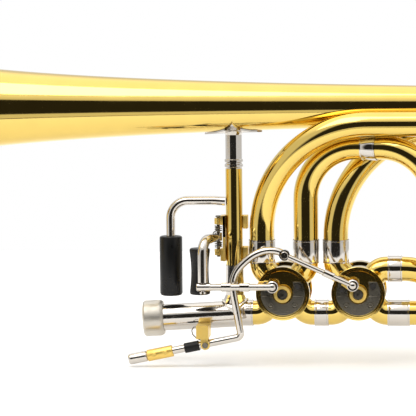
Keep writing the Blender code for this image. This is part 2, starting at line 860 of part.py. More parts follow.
def make_stop_arm(index):
    x = VALVE_X[index]
    middle = (ARM_BACK + ARM_FRONT) / 2
    hub = rod((x, HUB_FRONT, VALVE_Z), (x, ARM_BACK, VALVE_Z), HUB_RADIUS, sides=ROUND_STEPS)
    tip = [LOBE_ANGLE + LOBE_HALF_ANGLE * share for share in (-1.0, -0.4, 0.4, 1.0)]
    neck = HUB_RADIUS * 0.8
    outline = [polar(LOBE_REACH, angle) for angle in tip]
    outline += [polar(neck, LOBE_ANGLE + 22), polar(neck, LOBE_ANGLE - 22)]
    facing = Matrix.Translation(Vector((x, middle, VALVE_Z)) * MM) @ Matrix.Rotation(math.pi / 2, 4, "X")
    join(hub, prism([tuple(point) for point in outline], ARM_BACK - ARM_FRONT, facing))
    reach, angle = ARM_PINS[index]
    at = polar(reach, angle)
    boss = rod((x + at.x, BOSS_Y[0], VALVE_Z + at.y), (x + at.x, BOSS_Y[1], VALVE_Z + at.y), ARM_PIN_RADIUS + 1.8)
    pin = rod((x + at.x, SPINDLE_FRONT, VALVE_Z + at.y), (x + at.x, middle, VALVE_Z + at.y), ARM_PIN_RADIUS)
    join(hub, boss, pin)
    cut(
        hub,
        rod((x, HUB_FRONT - 2, VALVE_Z), (x, ARM_BACK + 2, VALVE_Z), SPINDLE_HEAD_RADIUS + BORE_GAP, sides=ROUND_STEPS),
    )
    moving(piece(f"valve{index + 1}_stop_arm", hub, BRASS), VALVE_JOINTS[index])


def make_valves():
    for index in range(2):
        make_casing(index)
        make_rotor(index)
        make_bearing_and_cap(index)
        make_bumpers(index)
        make_stop_arm(index)
    make_ferrule("intervalve_ferrule", *INTERVALVE_FERRULE_X, (0, 0, VALVE_LINE_Z), (1, 0, 0))
    make_ferrule("output_ferrule", *OUTPUT_FERRULE_X, (0, 0, VALVE_LINE_Z), (1, 0, 0))


# Valve loops


def leaning(points, side):
    """The (x, z) points, moved sideways from 0 to side along their run."""
    lengths = [0.0]
    for start, end in zip(points, points[1:]):
        lengths.append(lengths[-1] + (end - start).length)
    return [Vector((point.x, side * ease(length / lengths[-1]), point.y)) for point, length in zip(points, lengths)]


def riser_route(x, arc_z, top_z, side, end_x):
    """Up from a valve, round one large quarter turn while leaning to the side, and along to end_x."""
    radius = top_z - arc_z
    start = Vector((x, 0, sum(FERRULE_Z) / 2 + GAP / 2))
    arc = leaning(quarter((x + radius, arc_z), radius, 180, 90, 7), side)
    return [start] + arc + [Vector((end_x, side, top_z))]


def crook_route():
    """From the first valve up, over the crown and down to the lower leg of the F slide."""
    arc_z = CROWN_Z - CROOK_BEND
    first = quarter((CROOK_X + CROOK_BEND, arc_z), CROOK_BEND, 180, 90, 6)
    crown = [first[-1] + Vector((CROWN_LENGTH * share, 0)) for share in (0.34, 0.5, 0.9)]
    second = quarter((CROOK_X + CROOK_BEND + CROWN_LENGTH, arc_z), CROOK_BEND, 90, 0, 6)
    over = leaning(first + crown + second, F_SIDE_Y)
    middle = len(first) + 1
    return over, middle


def make_f_loop():
    sleeve_start, sleeve_end = F_SLEEVE_X
    seat = sleeve_start + SLEEVE_GRIP
    riser = riser_route(RISER_X, RISER_ARC_Z, F_UPPER_Z, F_SIDE_Y, seat)
    piece("f_riser_tube", tube(riser, TUBE_RADIUS, TUBE_WALL), BRASS)
    over, middle = crook_route()
    start = Vector((CROOK_X, 0, sum(FERRULE_Z) / 2 + GAP / 2))
    crown = over[middle]
    direction = (over[middle + 1] - over[middle - 1]).normalized()
    before = crown - direction * GAP / 2
    after = crown + direction * GAP / 2
    piece("f_crook_tube", tube([start] + over[:middle] + [before], TUBE_RADIUS, TUBE_WALL), BRASS)
    drop = over[-1]
    down = rounded(
        [drop, (drop.x, F_SIDE_Y, F_LOWER_Z), (seat, F_SIDE_Y, F_LOWER_Z)], RETURN_BEND
    )
    piece("f_return_tube", tube([after] + over[middle + 1 : -1] + down, TUBE_RADIUS, TUBE_WALL), BRASS)
    make_ferrule("f_riser_ferrule", *FERRULE_Z, (RISER_X, 0, 0), (0, 0, 1))
    make_ferrule("f_crook_ferrule", *FERRULE_Z, (CROOK_X, 0, 0), (0, 0, 1))
    half = CROWN_FERRULE_LENGTH / 2
    make_ferrule("f_crown_ferrule", -half, half, crown, direction)
    make_slide_sleeve("f_upper_sleeve", F_SLEEVE_X, F_UPPER_Z, F_SIDE_Y, (BELL_AXIS_Z, bell_radius(STAY_X)))
    make_slide_sleeve("f_lower_sleeve", F_SLEEVE_X, F_LOWER_Z, F_SIDE_Y, (VALVE_LINE_Z, TUBE_RADIUS))


def make_gb_loop():
    seat = GB_SLEEVE_X[0] + SLEEVE_GRIP
    crook = riser_route(GB_CROOK_X, GB_ARC_Z, GB_UPPER_Z, GB_SIDE_Y, seat)
    piece("gb_crook_tube", tube(crook, TUBE_RADIUS, TUBE_WALL), BRASS)
    back = rounded(
        [
            (sum(GB_RETURN_FERRULE_X) / 2 + GAP / 2, 0, GB_RETURN_Z),
            (GB_DROP_X[0], 0, GB_RETURN_Z),
            (GB_DROP_X[1], GB_SIDE_Y, GB_LOWER_Z),
            (seat, GB_SIDE_Y, GB_LOWER_Z),
        ],
        RETURN_BEND,
    )
    piece("gb_return_tube", tube(back, TUBE_RADIUS, TUBE_WALL), BRASS)
    make_ferrule("gb_crook_ferrule", *FERRULE_Z, (GB_CROOK_X, 0, 0), (0, 0, 1))
    make_ferrule("gb_return_ferrule", *GB_RETURN_FERRULE_X, (0, 0, GB_RETURN_Z), (1, 0, 0))
    make_slide_sleeve("gb_upper_sleeve", GB_SLEEVE_X, GB_UPPER_Z, GB_SIDE_Y, (BELL_AXIS_Z, bell_radius(STAY_X)))
    make_slide_sleeve("gb_lower_sleeve", GB_SLEEVE_X, GB_LOWER_Z, GB_SIDE_Y, (VALVE_LINE_Z, TUBE_RADIUS))


def make_slide_sleeve(name, span, z, side, neighbour):
    """An outer slide tube with the short stay that fixes it to the tube beside it."""
    inner = TUBE_RADIUS + BORE_GAP
    outer = inner + SLEEVE_WALL
    sleeve = ring(*span, outer, inner, (0, side, z), (1, 0, 0))
    other_z, other_radius = neighbour
    target = Vector((STAY_X, 0, other_z))
    start = Vector((STAY_X, side, z))
    way = (target - start).normalized()
    stay = rod(start + way * (inner + SLEEVE_WALL / 2), target, STAY_RADIUS)
    pad = rod(target - way * (other_radius + 2.2), target, STAY_RADIUS + 1.6)
    room = rod((STAY_X - 12, 0, other_z), (STAY_X + 12, 0, other_z), other_radius + GAP + 0.15, sides=BELL_STEPS)
    join(sleeve, cut(join(stay, pad), room))
    piece(name, sleeve, NICKEL)


# Main line and slides


def make_neckpipe():
    bore = TUBE_RADIUS - TUBE_WALL
    inner = MAIN_LOWER_RADIUS + BORE_GAP
    outer = inner + SLEEVE_WALL
    start, end = MAIN_SLEEVE_X
    neck = turned(
        [
            (end, outer),
            (start, outer),
            (start, TUBE_RADIUS),
            (sum(OUTPUT_FERRULE_X) / 2 + GAP / 2, TUBE_RADIUS),
            (sum(OUTPUT_FERRULE_X) / 2 + GAP / 2, bore),
            (start + 2.0, bore),
            (start + 2.0, inner),
            (end, inner),
        ],
        (0, 0, VALVE_LINE_Z),
        (1, 0, 0),
    )
    piece("neckpipe", neck, BRASS)
    seat = bell_radius(BELL_TAIL_X - COLLAR_LENGTH) + BORE_GAP
    upper = MAIN_UPPER_RADIUS + BORE_GAP
    sleeve = turned(
        [
            (end, upper + SLEEVE_WALL),
            (BELL_TAIL_X + 4, upper + SLEEVE_WALL),
            (BELL_TAIL_X + 2, seat + SLEEVE_WALL),
            (BELL_TAIL_X - COLLAR_LENGTH, seat + SLEEVE_WALL),
            (BELL_TAIL_X - COLLAR_LENGTH, seat),
            (BELL_TAIL_X + GAP, seat),
            (BELL_TAIL_X + GAP, upper),
            (end, upper),
        ],
        (0, 0, BELL_AXIS_Z),
        (1, 0, 0),
    )
    piece("bell_sleeve", sleeve, NICKEL)
    low = VALVE_LINE_Z
    stay = rod((BRACE_STAY_X, 0, low), (BRACE_STAY_X, 0, BELL_AXIS_Z), STAY_RADIUS)
    for z, radius, way in ((low, outer, 1), (BELL_AXIS_Z, upper + SLEEVE_WALL, -1)):
        foot = rod((BRACE_STAY_X, 0, z), (BRACE_STAY_X, 0, z + way * (radius + 2.4)), STAY_RADIUS + 3.4)
        join(stay, foot)
        cut(stay, rod((BRACE_STAY_X - 15, 0, z), (BRACE_STAY_X + 15, 0, z), radius + GAP + 0.1, sides=BELL_STEPS))
    for z, way in ((low, -1), (BELL_AXIS_Z, 1)):
        cut(stay, box((BRACE_STAY_X - 15, -15, z - 16 if way < 0 else z), (BRACE_STAY_X + 15, 15, z if way < 0 else z + 16)))
    piece("rear_brace", stay, NICKEL)


def slide_path(leg_x, bow_x, low_z, high_z, side):
    radius = (high_z - low_z) / 2
    arc = quarter((bow_x, (high_z + low_z) / 2), radius, -90, 90, 12)
    low = Vector((leg_x, side, low_z))
    high = Vector((leg_x, side, high_z))
    return [low] + [Vector((point.x, side, point.y)) for point in arc] + [high]


def make_slides():
    for name, sleeve, bow_x, low_z, high_z, side, joint in (
        ("f_slide", F_SLEEVE_X, F_BOW_X, F_LOWER_Z, F_UPPER_Z, F_SIDE_Y, F_JOINT),
        ("gb_slide", GB_SLEEVE_X, GB_BOW_X, GB_LOWER_Z, GB_UPPER_Z, GB_SIDE_Y, GB_JOINT),
    ):
        leg_x = sleeve[0] + SLEEVE_GRIP + GAP
        slide = as_mesh(tube(slide_path(leg_x, bow_x, low_z, high_z, side), TUBE_RADIUS, TUBE_WALL))
        moving(piece(name, slide, BRASS), joint)
    leg_x = BELL_TAIL_X + 4
    path = slide_path(leg_x, MAIN_BOW_X, VALVE_LINE_Z, BELL_AXIS_Z, 0)
    arc_points = len(path) - 2
    taper = [index / (arc_points - 1) for index in range(arc_points)]
    radii = [MAIN_LOWER_RADIUS + (MAIN_UPPER_RADIUS - MAIN_LOWER_RADIUS) * share for share in [0, *taper, 1]]
    slide = as_mesh(tube(path, MAIN_UPPER_RADIUS, TUBE_WALL, radii))
    cross = rod(
        (MAIN_BRACE_X, 0, VALVE_LINE_Z + MAIN_LOWER_RADIUS - 0.1),
        (MAIN_BRACE_X, 0, BELL_AXIS_Z - MAIN_UPPER_RADIUS + 0.1),
        STAY_RADIUS,
    )
    join(slide, cross)
    moving(piece("main_slide", slide, BRASS), MAIN_JOINT)


# Thumb lever and its link


def make_lever1_bracket():
    x = HINGE1.x
    left, web, right = x + 1.7, x + 3.4, BRACE_X - BRACE_RADIUS - GAP
    front, back = -4.5, BRACE_RADIUS + GAP
    clamp_back, lug_right = back + 2.2, BRACE_X + BRACE_RADIUS + 3.4
    bracket = box((web, front, 41.0), (right, back + 0.2, 73.0))
    lug_left = BRACE_X + BRACE_RADIUS + GAP
    for post_z, block, clamp in (
        (HINGE1_POSTS[0], (66.5, 72.8), (63.5, 72.6)),
        (HINGE1_POSTS[1], (41.2, 49.5), (41.4, 50.5)),
    ):
        join(
            bracket,
            box((left, front + 0.1, block[0]), (right - 0.1, back, block[1])),
            box((web + 0.2, back - 0.1, clamp[0]), (lug_right, clamp_back, clamp[1])),
            box((lug_left, -1.0, clamp[0] + 0.1), (lug_right - 0.1, clamp_back - 0.2, clamp[1] - 0.1)),
            rod((x, 0, post_z - POST_RADIUS + 0.6), (x, 0, post_z + POST_RADIUS - 0.6), POST_RADIUS, sides=16),
        )
    cut(bracket, rod((x, 0, HINGE1_POSTS[1] - 5), (x, 0, HINGE1_POSTS[0] + 5), PIN1_RADIUS + GAP))
    head_z = HINGE1_POSTS[0] + POST_RADIUS - 0.3
    cut(bracket, rod((x, 0, head_z), (x, 0, head_z + 5), PIN1_RADIUS + 0.9 + GAP, sides=16))
    join(bracket, rod((web + 0.9, front - 0.7, 57.4), (web + 0.9, front + 1, 57.4), 0.8))
    piece("lever1_bracket", bracket, BRASS)


def make_lever1_pin():
    top = HINGE1_POSTS[0] + POST_RADIUS + GAP
    bottom = HINGE1_POSTS[1] - POST_RADIUS - 0.6
    profile = [
        (top + 1.0, 0.0),
        (top + 1.0, PIN1_RADIUS + 0.5),
        (top, PIN1_RADIUS + 0.9),
        (top, PIN1_RADIUS),
        (bottom, PIN1_RADIUS),
        (bottom, 0.0),
    ]
    piece("lever1_pin", turned(profile, (HINGE1.x, HINGE1.y, 0), (0, 0, 1), SMALL_STEPS), STEEL)


def make_lever1_spring():
    """A double torsion spring: a coil each side of the hub, with a loop between them."""
    middle = (HUB1_Z[0] + HUB1_Z[1]) / 2
    coil_top = HINGE1_POSTS[0] - POST_RADIUS - GAP - SPRING1_WIRE - 0.1
    upper = [Vector((HINGE1.x - SPRING1_RADIUS, 3.4, coil_top)), Vector((HINGE1.x - SPRING1_RADIUS, 1.6, coil_top))]
    points_a_turn = 8
    for step in range(SPRING1_TURNS * points_a_turn + 1):
        turn = step / points_a_turn
        at = polar(SPRING1_RADIUS, 180 + 360 * turn)
        upper.append(Vector((HINGE1.x + at.x, HINGE1.y + at.y, coil_top - SPRING1_PITCH * turn)))
    below = upper[-1].z
    upper.append(Vector((HINGE1.x - 3.1, -0.5, below - 0.6)))
    upper.append(Vector((HINGE1.x - 3.7, -0.1, below - 1.6)))
    centre = Vector((HINGE1.x - 3.8, 0.0, middle))
    lower = [Vector((point.x, point.y, 2 * middle - point.z)) for point in reversed(upper)]
    points = upper + [centre] + lower
    print(f"lever1_spring least gap {least_gap(points, SPRING1_WIRE):.2f} mm")
    piece("lever1_spring", wire(points, SPRING1_WIRE), STEEL)


def make_lever1_arm():
    middle = (HUB1_Z[0] + HUB1_Z[1]) / 2
    hinge = Vector((HINGE1.x, HINGE1.y, middle))
    way = (ARM1_CORNER - hinge).normalized()
    corner = ARM1_CORNER
    bottom = Vector((corner.x, corner.y, ARM1_BOTTOM))
    path = rounded([hinge + way * 1.7, hinge + way * 8, corner, bottom], 10.0)
    radii = [ARM1_RADIUS] * len(path)
    radii[0] = HUB1_RADIUS - 0.5
    arm = as_mesh(sweep(path, ARM1_RADIUS, radii))
    hub = rod((HINGE1.x, HINGE1.y, HUB1_Z[0]), (HINGE1.x, HINGE1.y, HUB1_Z[1]), HUB1_RADIUS)
    join(arm, hub)
    cut(
        arm,
        rod((HINGE1.x, HINGE1.y, HUB1_Z[0] - 3), (HINGE1.x, HINGE1.y, HUB1_Z[1] + 3), PIN1_RADIUS + GAP),
    )
    stub_start = Vector((corner.x, corner.y, STUB_Z))
    stub_way = (Vector((*PAD_CENTRE, STUB_Z)) - stub_start).normalized()
    stub = rod(stub_start + stub_way, stub_start + stub_way * 9.0, STUB_RADIUS)
    nut_top = LINK1_Z - FITTING_RADIUS - GAP
    pin = rod((corner.x, corner.y, nut_top - 1.7), (corner.x, corner.y, ARM1_BOTTOM + 1), LINK_PIN_RADIUS)
    nut = rod((corner.x, corner.y, nut_top - 1.6), (corner.x, corner.y, nut_top), LINK_PIN_RADIUS + 0.9)
    join(arm, stub, pin, nut)
    moving(piece("lever1_arm", arm, NICKEL), LEVER1_JOINT)
    pad = turned(
        [
            (PAD_Z[1], 0.0),
            (PAD_Z[1], PAD_RADIUS - 1.0),
            (PAD_Z[1] - 1.2, PAD_RADIUS),
            (PAD_Z[1] - 6.0, PAD_RADIUS - 0.4),
            ((PAD_Z[0] + PAD_Z[1]) / 2, PAD_WAIST),
            (PAD_Z[0] + 6.0, PAD_RADIUS - 0.4),
            (PAD_Z[0] + 1.2, PAD_RADIUS),
            (PAD_Z[0], PAD_RADIUS - 1.0),
            (PAD_Z[0], 0.0),
        ],
        (*PAD_CENTRE, 0),
        (0, 0, 1),
    )
    cut(pad, rod(stub_start, stub_start + stub_way * (9.0 + GAP), STUB_RADIUS + GAP))
    moving(piece("lever1_pad", pad, BLACK_GRIP), LEVER1_JOINT)


def arm_pin(index):
    reach, angle = ARM_PINS[index]
    at = polar(reach, angle)
    return Vector((VALVE_X[index] + at.x, LINK_PLANE_Y, VALVE_Z + at.y))


def link_eye(centre):
    """The eye over a stop arm's pin, with its screw head in front and its post behind."""
    x, y, z = centre
    eye = rod((x, y - 1.2, z), (x, y + 1.2, z), EYE_RADIUS, sides=16)
    head = rod((x, y - 2.6, z), (x, y, z), 2.4)
    post = rod((x, y, z), (x, SPINDLE_FRONT - GAP, z), ARM_PIN_RADIUS)
    return join(eye, head, post)


def knurled_rod(start, end, radius, knurls):
    """A link's rod with its adjusting nuts, given as shares of its length."""
    shaft = rod(start, end, radius)
    for first, last in knurls:
        join(shaft, rod(start.lerp(end, first), start.lerp(end, last), radius + 0.7))
    return shaft


def make_link1():
    pin = arm_pin(0)
    left = Vector((FITTING_X[0], LINK_PLANE_Y, LINK1_Z))
    right = Vector((FITTING_X[1], LINK_PLANE_Y, LINK1_Z))
    end = Vector((pin.x, LINK_PLANE_Y, pin.z))
    link = rod(left, right, FITTING_RADIUS)
    join(link, knurled_rod(right - Vector((1, 0, 0)), end, LINK_RADIUS, ((0.19, 0.35), (0.48, 0.64))), link_eye(end))
    hole = Vector((ARM1_CORNER.x, LINK_PLANE_Y, LINK1_Z))
    cut(link, rod(hole - Vector((0, 0, 6)), hole + Vector((0, 0, 6)), LINK_HOLE_RADIUS))
    moving(piece("link1", link, NICKEL), LINK1_JOINT)


# Finger lever and its link


def make_lever2_bracket():
    x, z = HINGE2
    bracket = box((BLOCK2_X[0], EAR_FRONT_Y[0], BLOCK2_Z[0]), (BLOCK2_X[1], -6.0, BLOCK2_Z[1]))
    for ear in (EAR_FRONT_Y, EAR_BACK_Y):
        join(
            bracket,
            box((x - EAR_RADIUS, ear[0] + 0.05, z), (x + 2.0, ear[1] - 0.05, BLOCK2_Z[0] + 2)),
            rod((x, ear[0], z), (x, ear[1], z), EAR_RADIUS, sides=16),
        )
    cut(
        bracket,
        receiver_room(RECEIVER_RADIUS + GAP),
        rod((x, EAR_FRONT_Y[0] - 3, z), (x, EAR_BACK_Y[1] + 3, z), EAR_HOLE),
    )
    piece("lever2_bracket", bracket, BRASS)
    head = EAR_FRONT_Y[0] - GAP
    pin = turned(
        [
            (SPRING2_BACK, 0.0),
            (SPRING2_BACK, PIN2_RADIUS),
            (head, PIN2_RADIUS),
            (head, PIN2_RADIUS + 0.9),
            (head - 1.0, PIN2_RADIUS + 0.7),
            (head - 1.0, 0.0),
        ],
        (x, 0, z),
        (0, 1, 0),
        SMALL_STEPS,
    )
    piece("lever2_pin", pin, STEEL)


SPRING2_FRONT = EAR_BACK_Y[1] + GAP + SPRING2_WIRE
SPRING2_BACK = SPRING2_FRONT + SPRING2_PITCH * SPRING2_TURNS + SPRING2_WIRE + 0.4


def make_lever2_spring():
    """A torsion spring round the pin, its hooked leg beside the bracket."""
    x, z = HINGE2
    left = x - SPRING2_RADIUS
    points = [
        Vector((BLOCK2_X[0] - 1.0, SPRING2_FRONT, BLOCK2_Z[1] - 2.0)),
        Vector((36.4, SPRING2_FRONT, BLOCK2_Z[1] - 2.2)),
        Vector((35.0, SPRING2_FRONT, BLOCK2_Z[1] - 4.6)),
        Vector((35.6, SPRING2_FRONT, BLOCK2_Z[1] - 7.4)),
        Vector((38.2, SPRING2_FRONT, z + 3.6)),
        Vector((left - 0.6, SPRING2_FRONT, z + 1.6)),
    ]
    points_a_turn = 8
    for step in range(SPRING2_TURNS * points_a_turn + 1):
        turn = step / points_a_turn
        at = polar(SPRING2_RADIUS, 180 + 360 * turn)
        points.append(Vector((x + at.x, SPRING2_FRONT + SPRING2_PITCH * turn, z + at.y)))
    points.append(points[-1] + Vector((0.2, 0.1, -1.8)))
    print(f"lever2_spring least gap {least_gap(points, SPRING2_WIRE):.2f} mm")
    piece("lever2_spring", wire(points, SPRING2_WIRE), STEEL)


def lever2_rod_point(distance):
    """The point at this distance along the rod from its free end."""
    foot = Vector(ARC2[0])
    way = (foot - ROD2_LEFT).normalized()
    at = ROD2_LEFT + way * distance
    return Vector((at.x, LEVER2_Y, at.y))


def make_lever2():
    foot = Vector((ARC2[0][0], LEVER2_Y, ARC2[0][1]))
    x, z = HINGE2
    lever = rod(lever2_rod_point(0), foot, ROD2_RADIUS)
    arc = as_mesh(sweep([(px, LEVER2_Y, pz) for px, pz in ARC2], ROD2_RADIUS + 0.15))
    tip = rod(lever2_rod_point(-0.4), lever2_rod_point(TIP_LENGTH - GAP), TIP_RADIUS)
    hub = rod((x, HUB2_Y[0], z), (x, HUB2_Y[1], z), HUB2_RADIUS, sides=16)
    end_x, end_z = ARC2[-1]
    eye = rod((end_x, LINK2_Y + EYE2_BEHIND, end_z), (end_x, ARM_BACK, end_z), EYE2_RADIUS, sides=16)
    front, back = LINK2_PIN_REACH
    pin = rod((end_x, LINK2_Y - front, end_z), (end_x, LINK2_Y + back, end_z), LINK_PIN_RADIUS)
    front, back = LINK2_HEAD_REACH
    head = rod((end_x, LINK2_Y - front, end_z), (end_x, LINK2_Y - back, end_z), LINK2_HEAD_RADIUS)
    join(lever, arc, tip, hub, eye, pin, head)
    cut(lever, rod((x, HUB2_Y[0] - 3, z), (x, HUB2_Y[1] + 3, z), EAR_HOLE))
    moving(piece("lever2_arm", lever, NICKEL), LEVER2_JOINT)
    bore = ROD2_RADIUS + GAP
    way = lever2_rod_point(1) - lever2_rod_point(0)
    clamp = ring(*CLAMP_AT, CLAMP_RADIUS, bore, lever2_rod_point(0), way, 16)
    for share in (0.28, 0.72):
        at = lever2_rod_point(CLAMP_AT[0] + (CLAMP_AT[1] - CLAMP_AT[0]) * share)
        join(clamp, rod(at + Vector((0, -CLAMP_RADIUS - 0.8, 0)), at + Vector((0, -bore - 0.6, 0)), 1.7))
    moving(piece("lever2_clamp", clamp, BRASS), LEVER2_JOINT)
    sleeve = ring(*SLEEVE2_AT, SLEEVE2_RADIUS, bore, lever2_rod_point(0), way, 16)
    moving(piece("lever2_sleeve", sleeve, BLACK_GRIP), LEVER2_JOINT)


def make_link2():
    end_x, end_z = ARC2[-1]
    start = Vector((end_x, LINK2_Y, end_z))
    pin = arm_pin(1)
    link = rod((start.x, start.y - 1.2, start.z), (start.x, start.y + 1.2, start.z), EYE_RADIUS - 0.4, sides=16)
    shaft_start = start.lerp(pin, 0.055)
    join(link, knurled_rod(shaft_start, pin, LINK_RADIUS - 0.5, ((0.55, 0.71),)), link_eye(pin))
    cut(link, rod((start.x, start.y - 4, start.z), (start.x, start.y + 4, start.z), LINK_HOLE_RADIUS))
    moving(piece("link2", link, NICKEL), LINK2_JOINT)


# Joints


def joint(name, origin, direction):
    """An empty on the joint's axis, with its Z along it."""
    empty = bpy.data.objects.new(name, None)
    PARTS.objects.link(empty)
    empty.empty_display_size = 0.01
    empty.matrix_world = along(origin, direction)
    return empty


def moving(shape, pivot):
    """The piece keeps its place and follows its joint's empty."""
    shape.parent = pivot
    shape.matrix_parent_inverse = pivot.matrix_basis.inverted()
    return shape


NUT_JOINT = joint("receiver_nut_turn", (0, 0, 0), receiver_axis())
VALVE_JOINTS = [joint(f"valve{i + 1}_spin", (VALVE_X[i], 0, VALVE_Z), (0, 1, 0)) for i in range(2)]
LEVER1_JOINT = joint("lever1_hinge", (*HINGE1, 0), (0, 0, 1))
LINK1_JOINT = joint("link1_pivot", (ARM1_CORNER.x, LINK_PLANE_Y, LINK1_Z), (0, 0, 1))
LEVER2_JOINT = joint("lever2_hinge", (HINGE2.x, LEVER2_Y, HINGE2.y), (0, 1, 0))
LINK2_JOINT = joint("link2_pivot", (ARC2[-1][0], LINK_PLANE_Y, ARC2[-1][1]), (0, 1, 0))
MAIN_JOINT = joint("main_slide_travel", (MAIN_BOW_X, 0, VALVE_LINE_Z), (1, 0, 0))
F_JOINT = joint("f_slide_travel", (F_BOW_X, F_SIDE_Y, F_LOWER_Z), (1, 0, 0))
GB_JOINT = joint("gb_slide_travel", (GB_BOW_X, GB_SIDE_Y, GB_LOWER_Z), (1, 0, 0))


def main():
    make_bell()
    make_bell_saddle()
    make_brace()
    make_brace_foot()
    make_rest()
    make_receiver()
    make_valves()
    make_f_loop()
    make_gb_loop()
    make_neckpipe()
    make_slides()
    make_lever1_bracket()
    make_lever1_pin()
    make_lever1_spring()
    make_lever1_arm()
    make_link1()
    make_lever2_bracket()
    make_lever2_spring()
    make_lever2()
    make_link2()


main()
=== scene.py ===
# %% [markdown]
# # Bass trombone, bell section
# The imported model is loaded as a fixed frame. Round pieces are then shown by smooth versions of themselves,
# turned or swept from the same sizes, because a facet that is fine for a collision model shows up at once in
# polished brass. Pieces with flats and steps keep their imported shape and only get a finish.

import json
import math

import bmesh
import bpy
from mathutils import Matrix, Quaternion, Vector


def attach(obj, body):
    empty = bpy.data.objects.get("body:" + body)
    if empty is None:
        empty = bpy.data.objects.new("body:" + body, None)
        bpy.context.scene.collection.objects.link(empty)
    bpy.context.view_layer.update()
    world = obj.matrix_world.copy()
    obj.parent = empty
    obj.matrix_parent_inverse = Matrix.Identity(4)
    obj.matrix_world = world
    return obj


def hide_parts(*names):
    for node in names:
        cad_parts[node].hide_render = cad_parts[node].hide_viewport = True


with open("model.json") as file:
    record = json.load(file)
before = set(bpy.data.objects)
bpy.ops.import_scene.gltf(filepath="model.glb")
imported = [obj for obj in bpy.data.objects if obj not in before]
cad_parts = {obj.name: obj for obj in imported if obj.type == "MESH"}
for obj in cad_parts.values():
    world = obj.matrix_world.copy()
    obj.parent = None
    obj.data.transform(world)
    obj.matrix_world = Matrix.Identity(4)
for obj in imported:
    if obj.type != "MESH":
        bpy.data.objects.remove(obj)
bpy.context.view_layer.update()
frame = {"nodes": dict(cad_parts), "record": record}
record = frame["record"]
BODY = {node: body for body, nodes in record["behaviour"]["bodies"].items() for node in nodes}
SLOT = {entry["node"]: entry["material_slot"] for entry in record["subparts"]}

# %% [markdown]
# ## Sizes
# All sizes are in millimetres. X runs from the flare to the main tuning slide and Z is up.

# %%
MM = 0.001
ALONG = (1, 0, 0)
ACROSS = (0, 1, 0)
UP = (0, 0, 1)
TUBE_SIDES = 36
LATHE_STEPS = 72
FINE_STEPS = 96
RIM_STEPS = 128
BOW_STEPS = 48
WELD = 1e-7
PACKED_WELD = 1e-6
BELL_Z = 149.3
LINE_Z = 4.2
TUBE = 8.6
WALL = 0.85
RISE = math.radians(3.1)
VALVE_X = (99.0, 151.4)
VALVE_Z = 20.2
FERRULE_Z = (39.6, 55.9)
FERRULE_INNER = TUBE + 0.35
FERRULE_OUTER = FERRULE_INNER + 0.28
FERRULE_MIDDLE = sum(FERRULE_Z) / 2
FERRULE_BEAD = 0.12
FERRULE_LINE = 0.1
HALF_GAP = 0.15
F_RISER_X = 83.5
F_CROOK_X = 114.4
GB_CROOK_X = 135.2
GB_RETURN_Z = 35.2
F_Y = -23.0
GB_Y = 20.0
F_Z = (45.9, 137.9)
GB_Z = (8.0, 132.0)
F_TUBE_END = 245.0
GB_TUBE_END = 247.0
F_SLEEVE = (238.0, 326.0)
GB_SLEEVE = (240.0, 316.0)
SLEEVE_INNER = 9.0
SLEEVE_OUTER = 9.8
SLEEVE_RING = 10.1
STAY_X = 248.0
STAY_RADIUS = 2.6
STAY_START = 9.5
STAY_STOP = 1.4
STAY_PAD = (2.2, 0.75)
STAY_PAD_RADIUS = 4.2
RIM_X = -277.0
RIM_RADIUS = 120.65
TAIL_X = 268.0
FLARE = 28.0
POWER = 0.753
BEAD = 2.0
BEAD_REACH = 2.3
BEAD_ANGLES = range(-50, 181, 23)
BELL_WALL = 0.8
BELL_STEPS = 60

# %% [markdown]
# ## Shells
# A lathe turns a closed profile of (along, radius) about an axis. A sweep carries a circle along a path, and
# with a wall it becomes a pipe that is open at both ends.

# %%
def lathe(profile, origin, direction, steps=LATHE_STEPS):
    turn = Vector(direction).to_track_quat("Z", "Y").to_matrix()
    count = len(profile)
    points = []
    faces = []
    for step in range(steps):
        angle = math.tau * step / steps
        for at, radius in profile:
            local = Vector((radius * math.cos(angle), radius * math.sin(angle), at))
            points.append(turn @ local + Vector(origin))
        here = step * count
        there = (step + 1) % steps * count
        for i in range(count):
            j = (i + 1) % count
            faces.append((here + i, there + i, there + j, here + j))
    return points, faces


def bar(start, end, radius, chamfer=0.3, steps=40):
    """A solid round bar with its edges broken."""
    start = Vector(start)
    way = Vector(end) - start
    length = way.length
    edge = min(chamfer, length / 3)
    profile = [(0, 0), (0, radius - edge), (edge, radius)]
    profile += [(length - edge, radius), (length, radius - edge), (length, 0)]
    return lathe(profile, start, way, steps)


def sweep(path, radius, wall=0.0, radii=None, sides=TUBE_SIDES):
    path = [Vector(point) for point in path]
    radii = radii or [radius] * len(path)
    befores = path[:1] + path[:-1]
    afters = path[1:] + path[-1:]
    ways = [(after - before).normalized() for before, after in zip(befores, afters)]
    loops = [radii]
    if wall:
        loops.append([size - wall for size in radii])
    points = []
    faces = []
    for sizes in loops:
        side = ways[0].orthogonal().normalized()
        base = len(points)
        for row, (point, way, size) in enumerate(zip(path, ways, sizes)):
            side = (side - way * side.dot(way)).normalized()
            up = way.cross(side)
            for step in range(sides):
                angle = math.tau * step / sides
                points.append(point + (side * math.cos(angle) + up * math.sin(angle)) * size)
                if row:
                    here = base + row * sides
                    nearby = (step + 1) % sides
                    faces.append((here - sides + step, here - sides + nearby, here + nearby, here + step))
    last = (len(path) - 1) * sides
    inner = len(path) * sides
    for start in (0, last):
        if wall:
            for step in range(sides):
                nearby = (step + 1) % sides
                faces.append((start + step, start + nearby, inner + start + nearby, inner + start + step))
        else:
            faces.append(tuple(range(start, start + sides)))
    return points, faces


def polar(radius, degrees):
    angle = math.radians(degrees)
    return Vector((radius * math.cos(angle), radius * math.sin(angle)))


def quarter(centre, radius, start, end, steps=28):
    turns = [start + (end - start) * step / steps for step in range(steps + 1)]
    return [Vector(centre) + polar(radius, angle) for angle in turns]


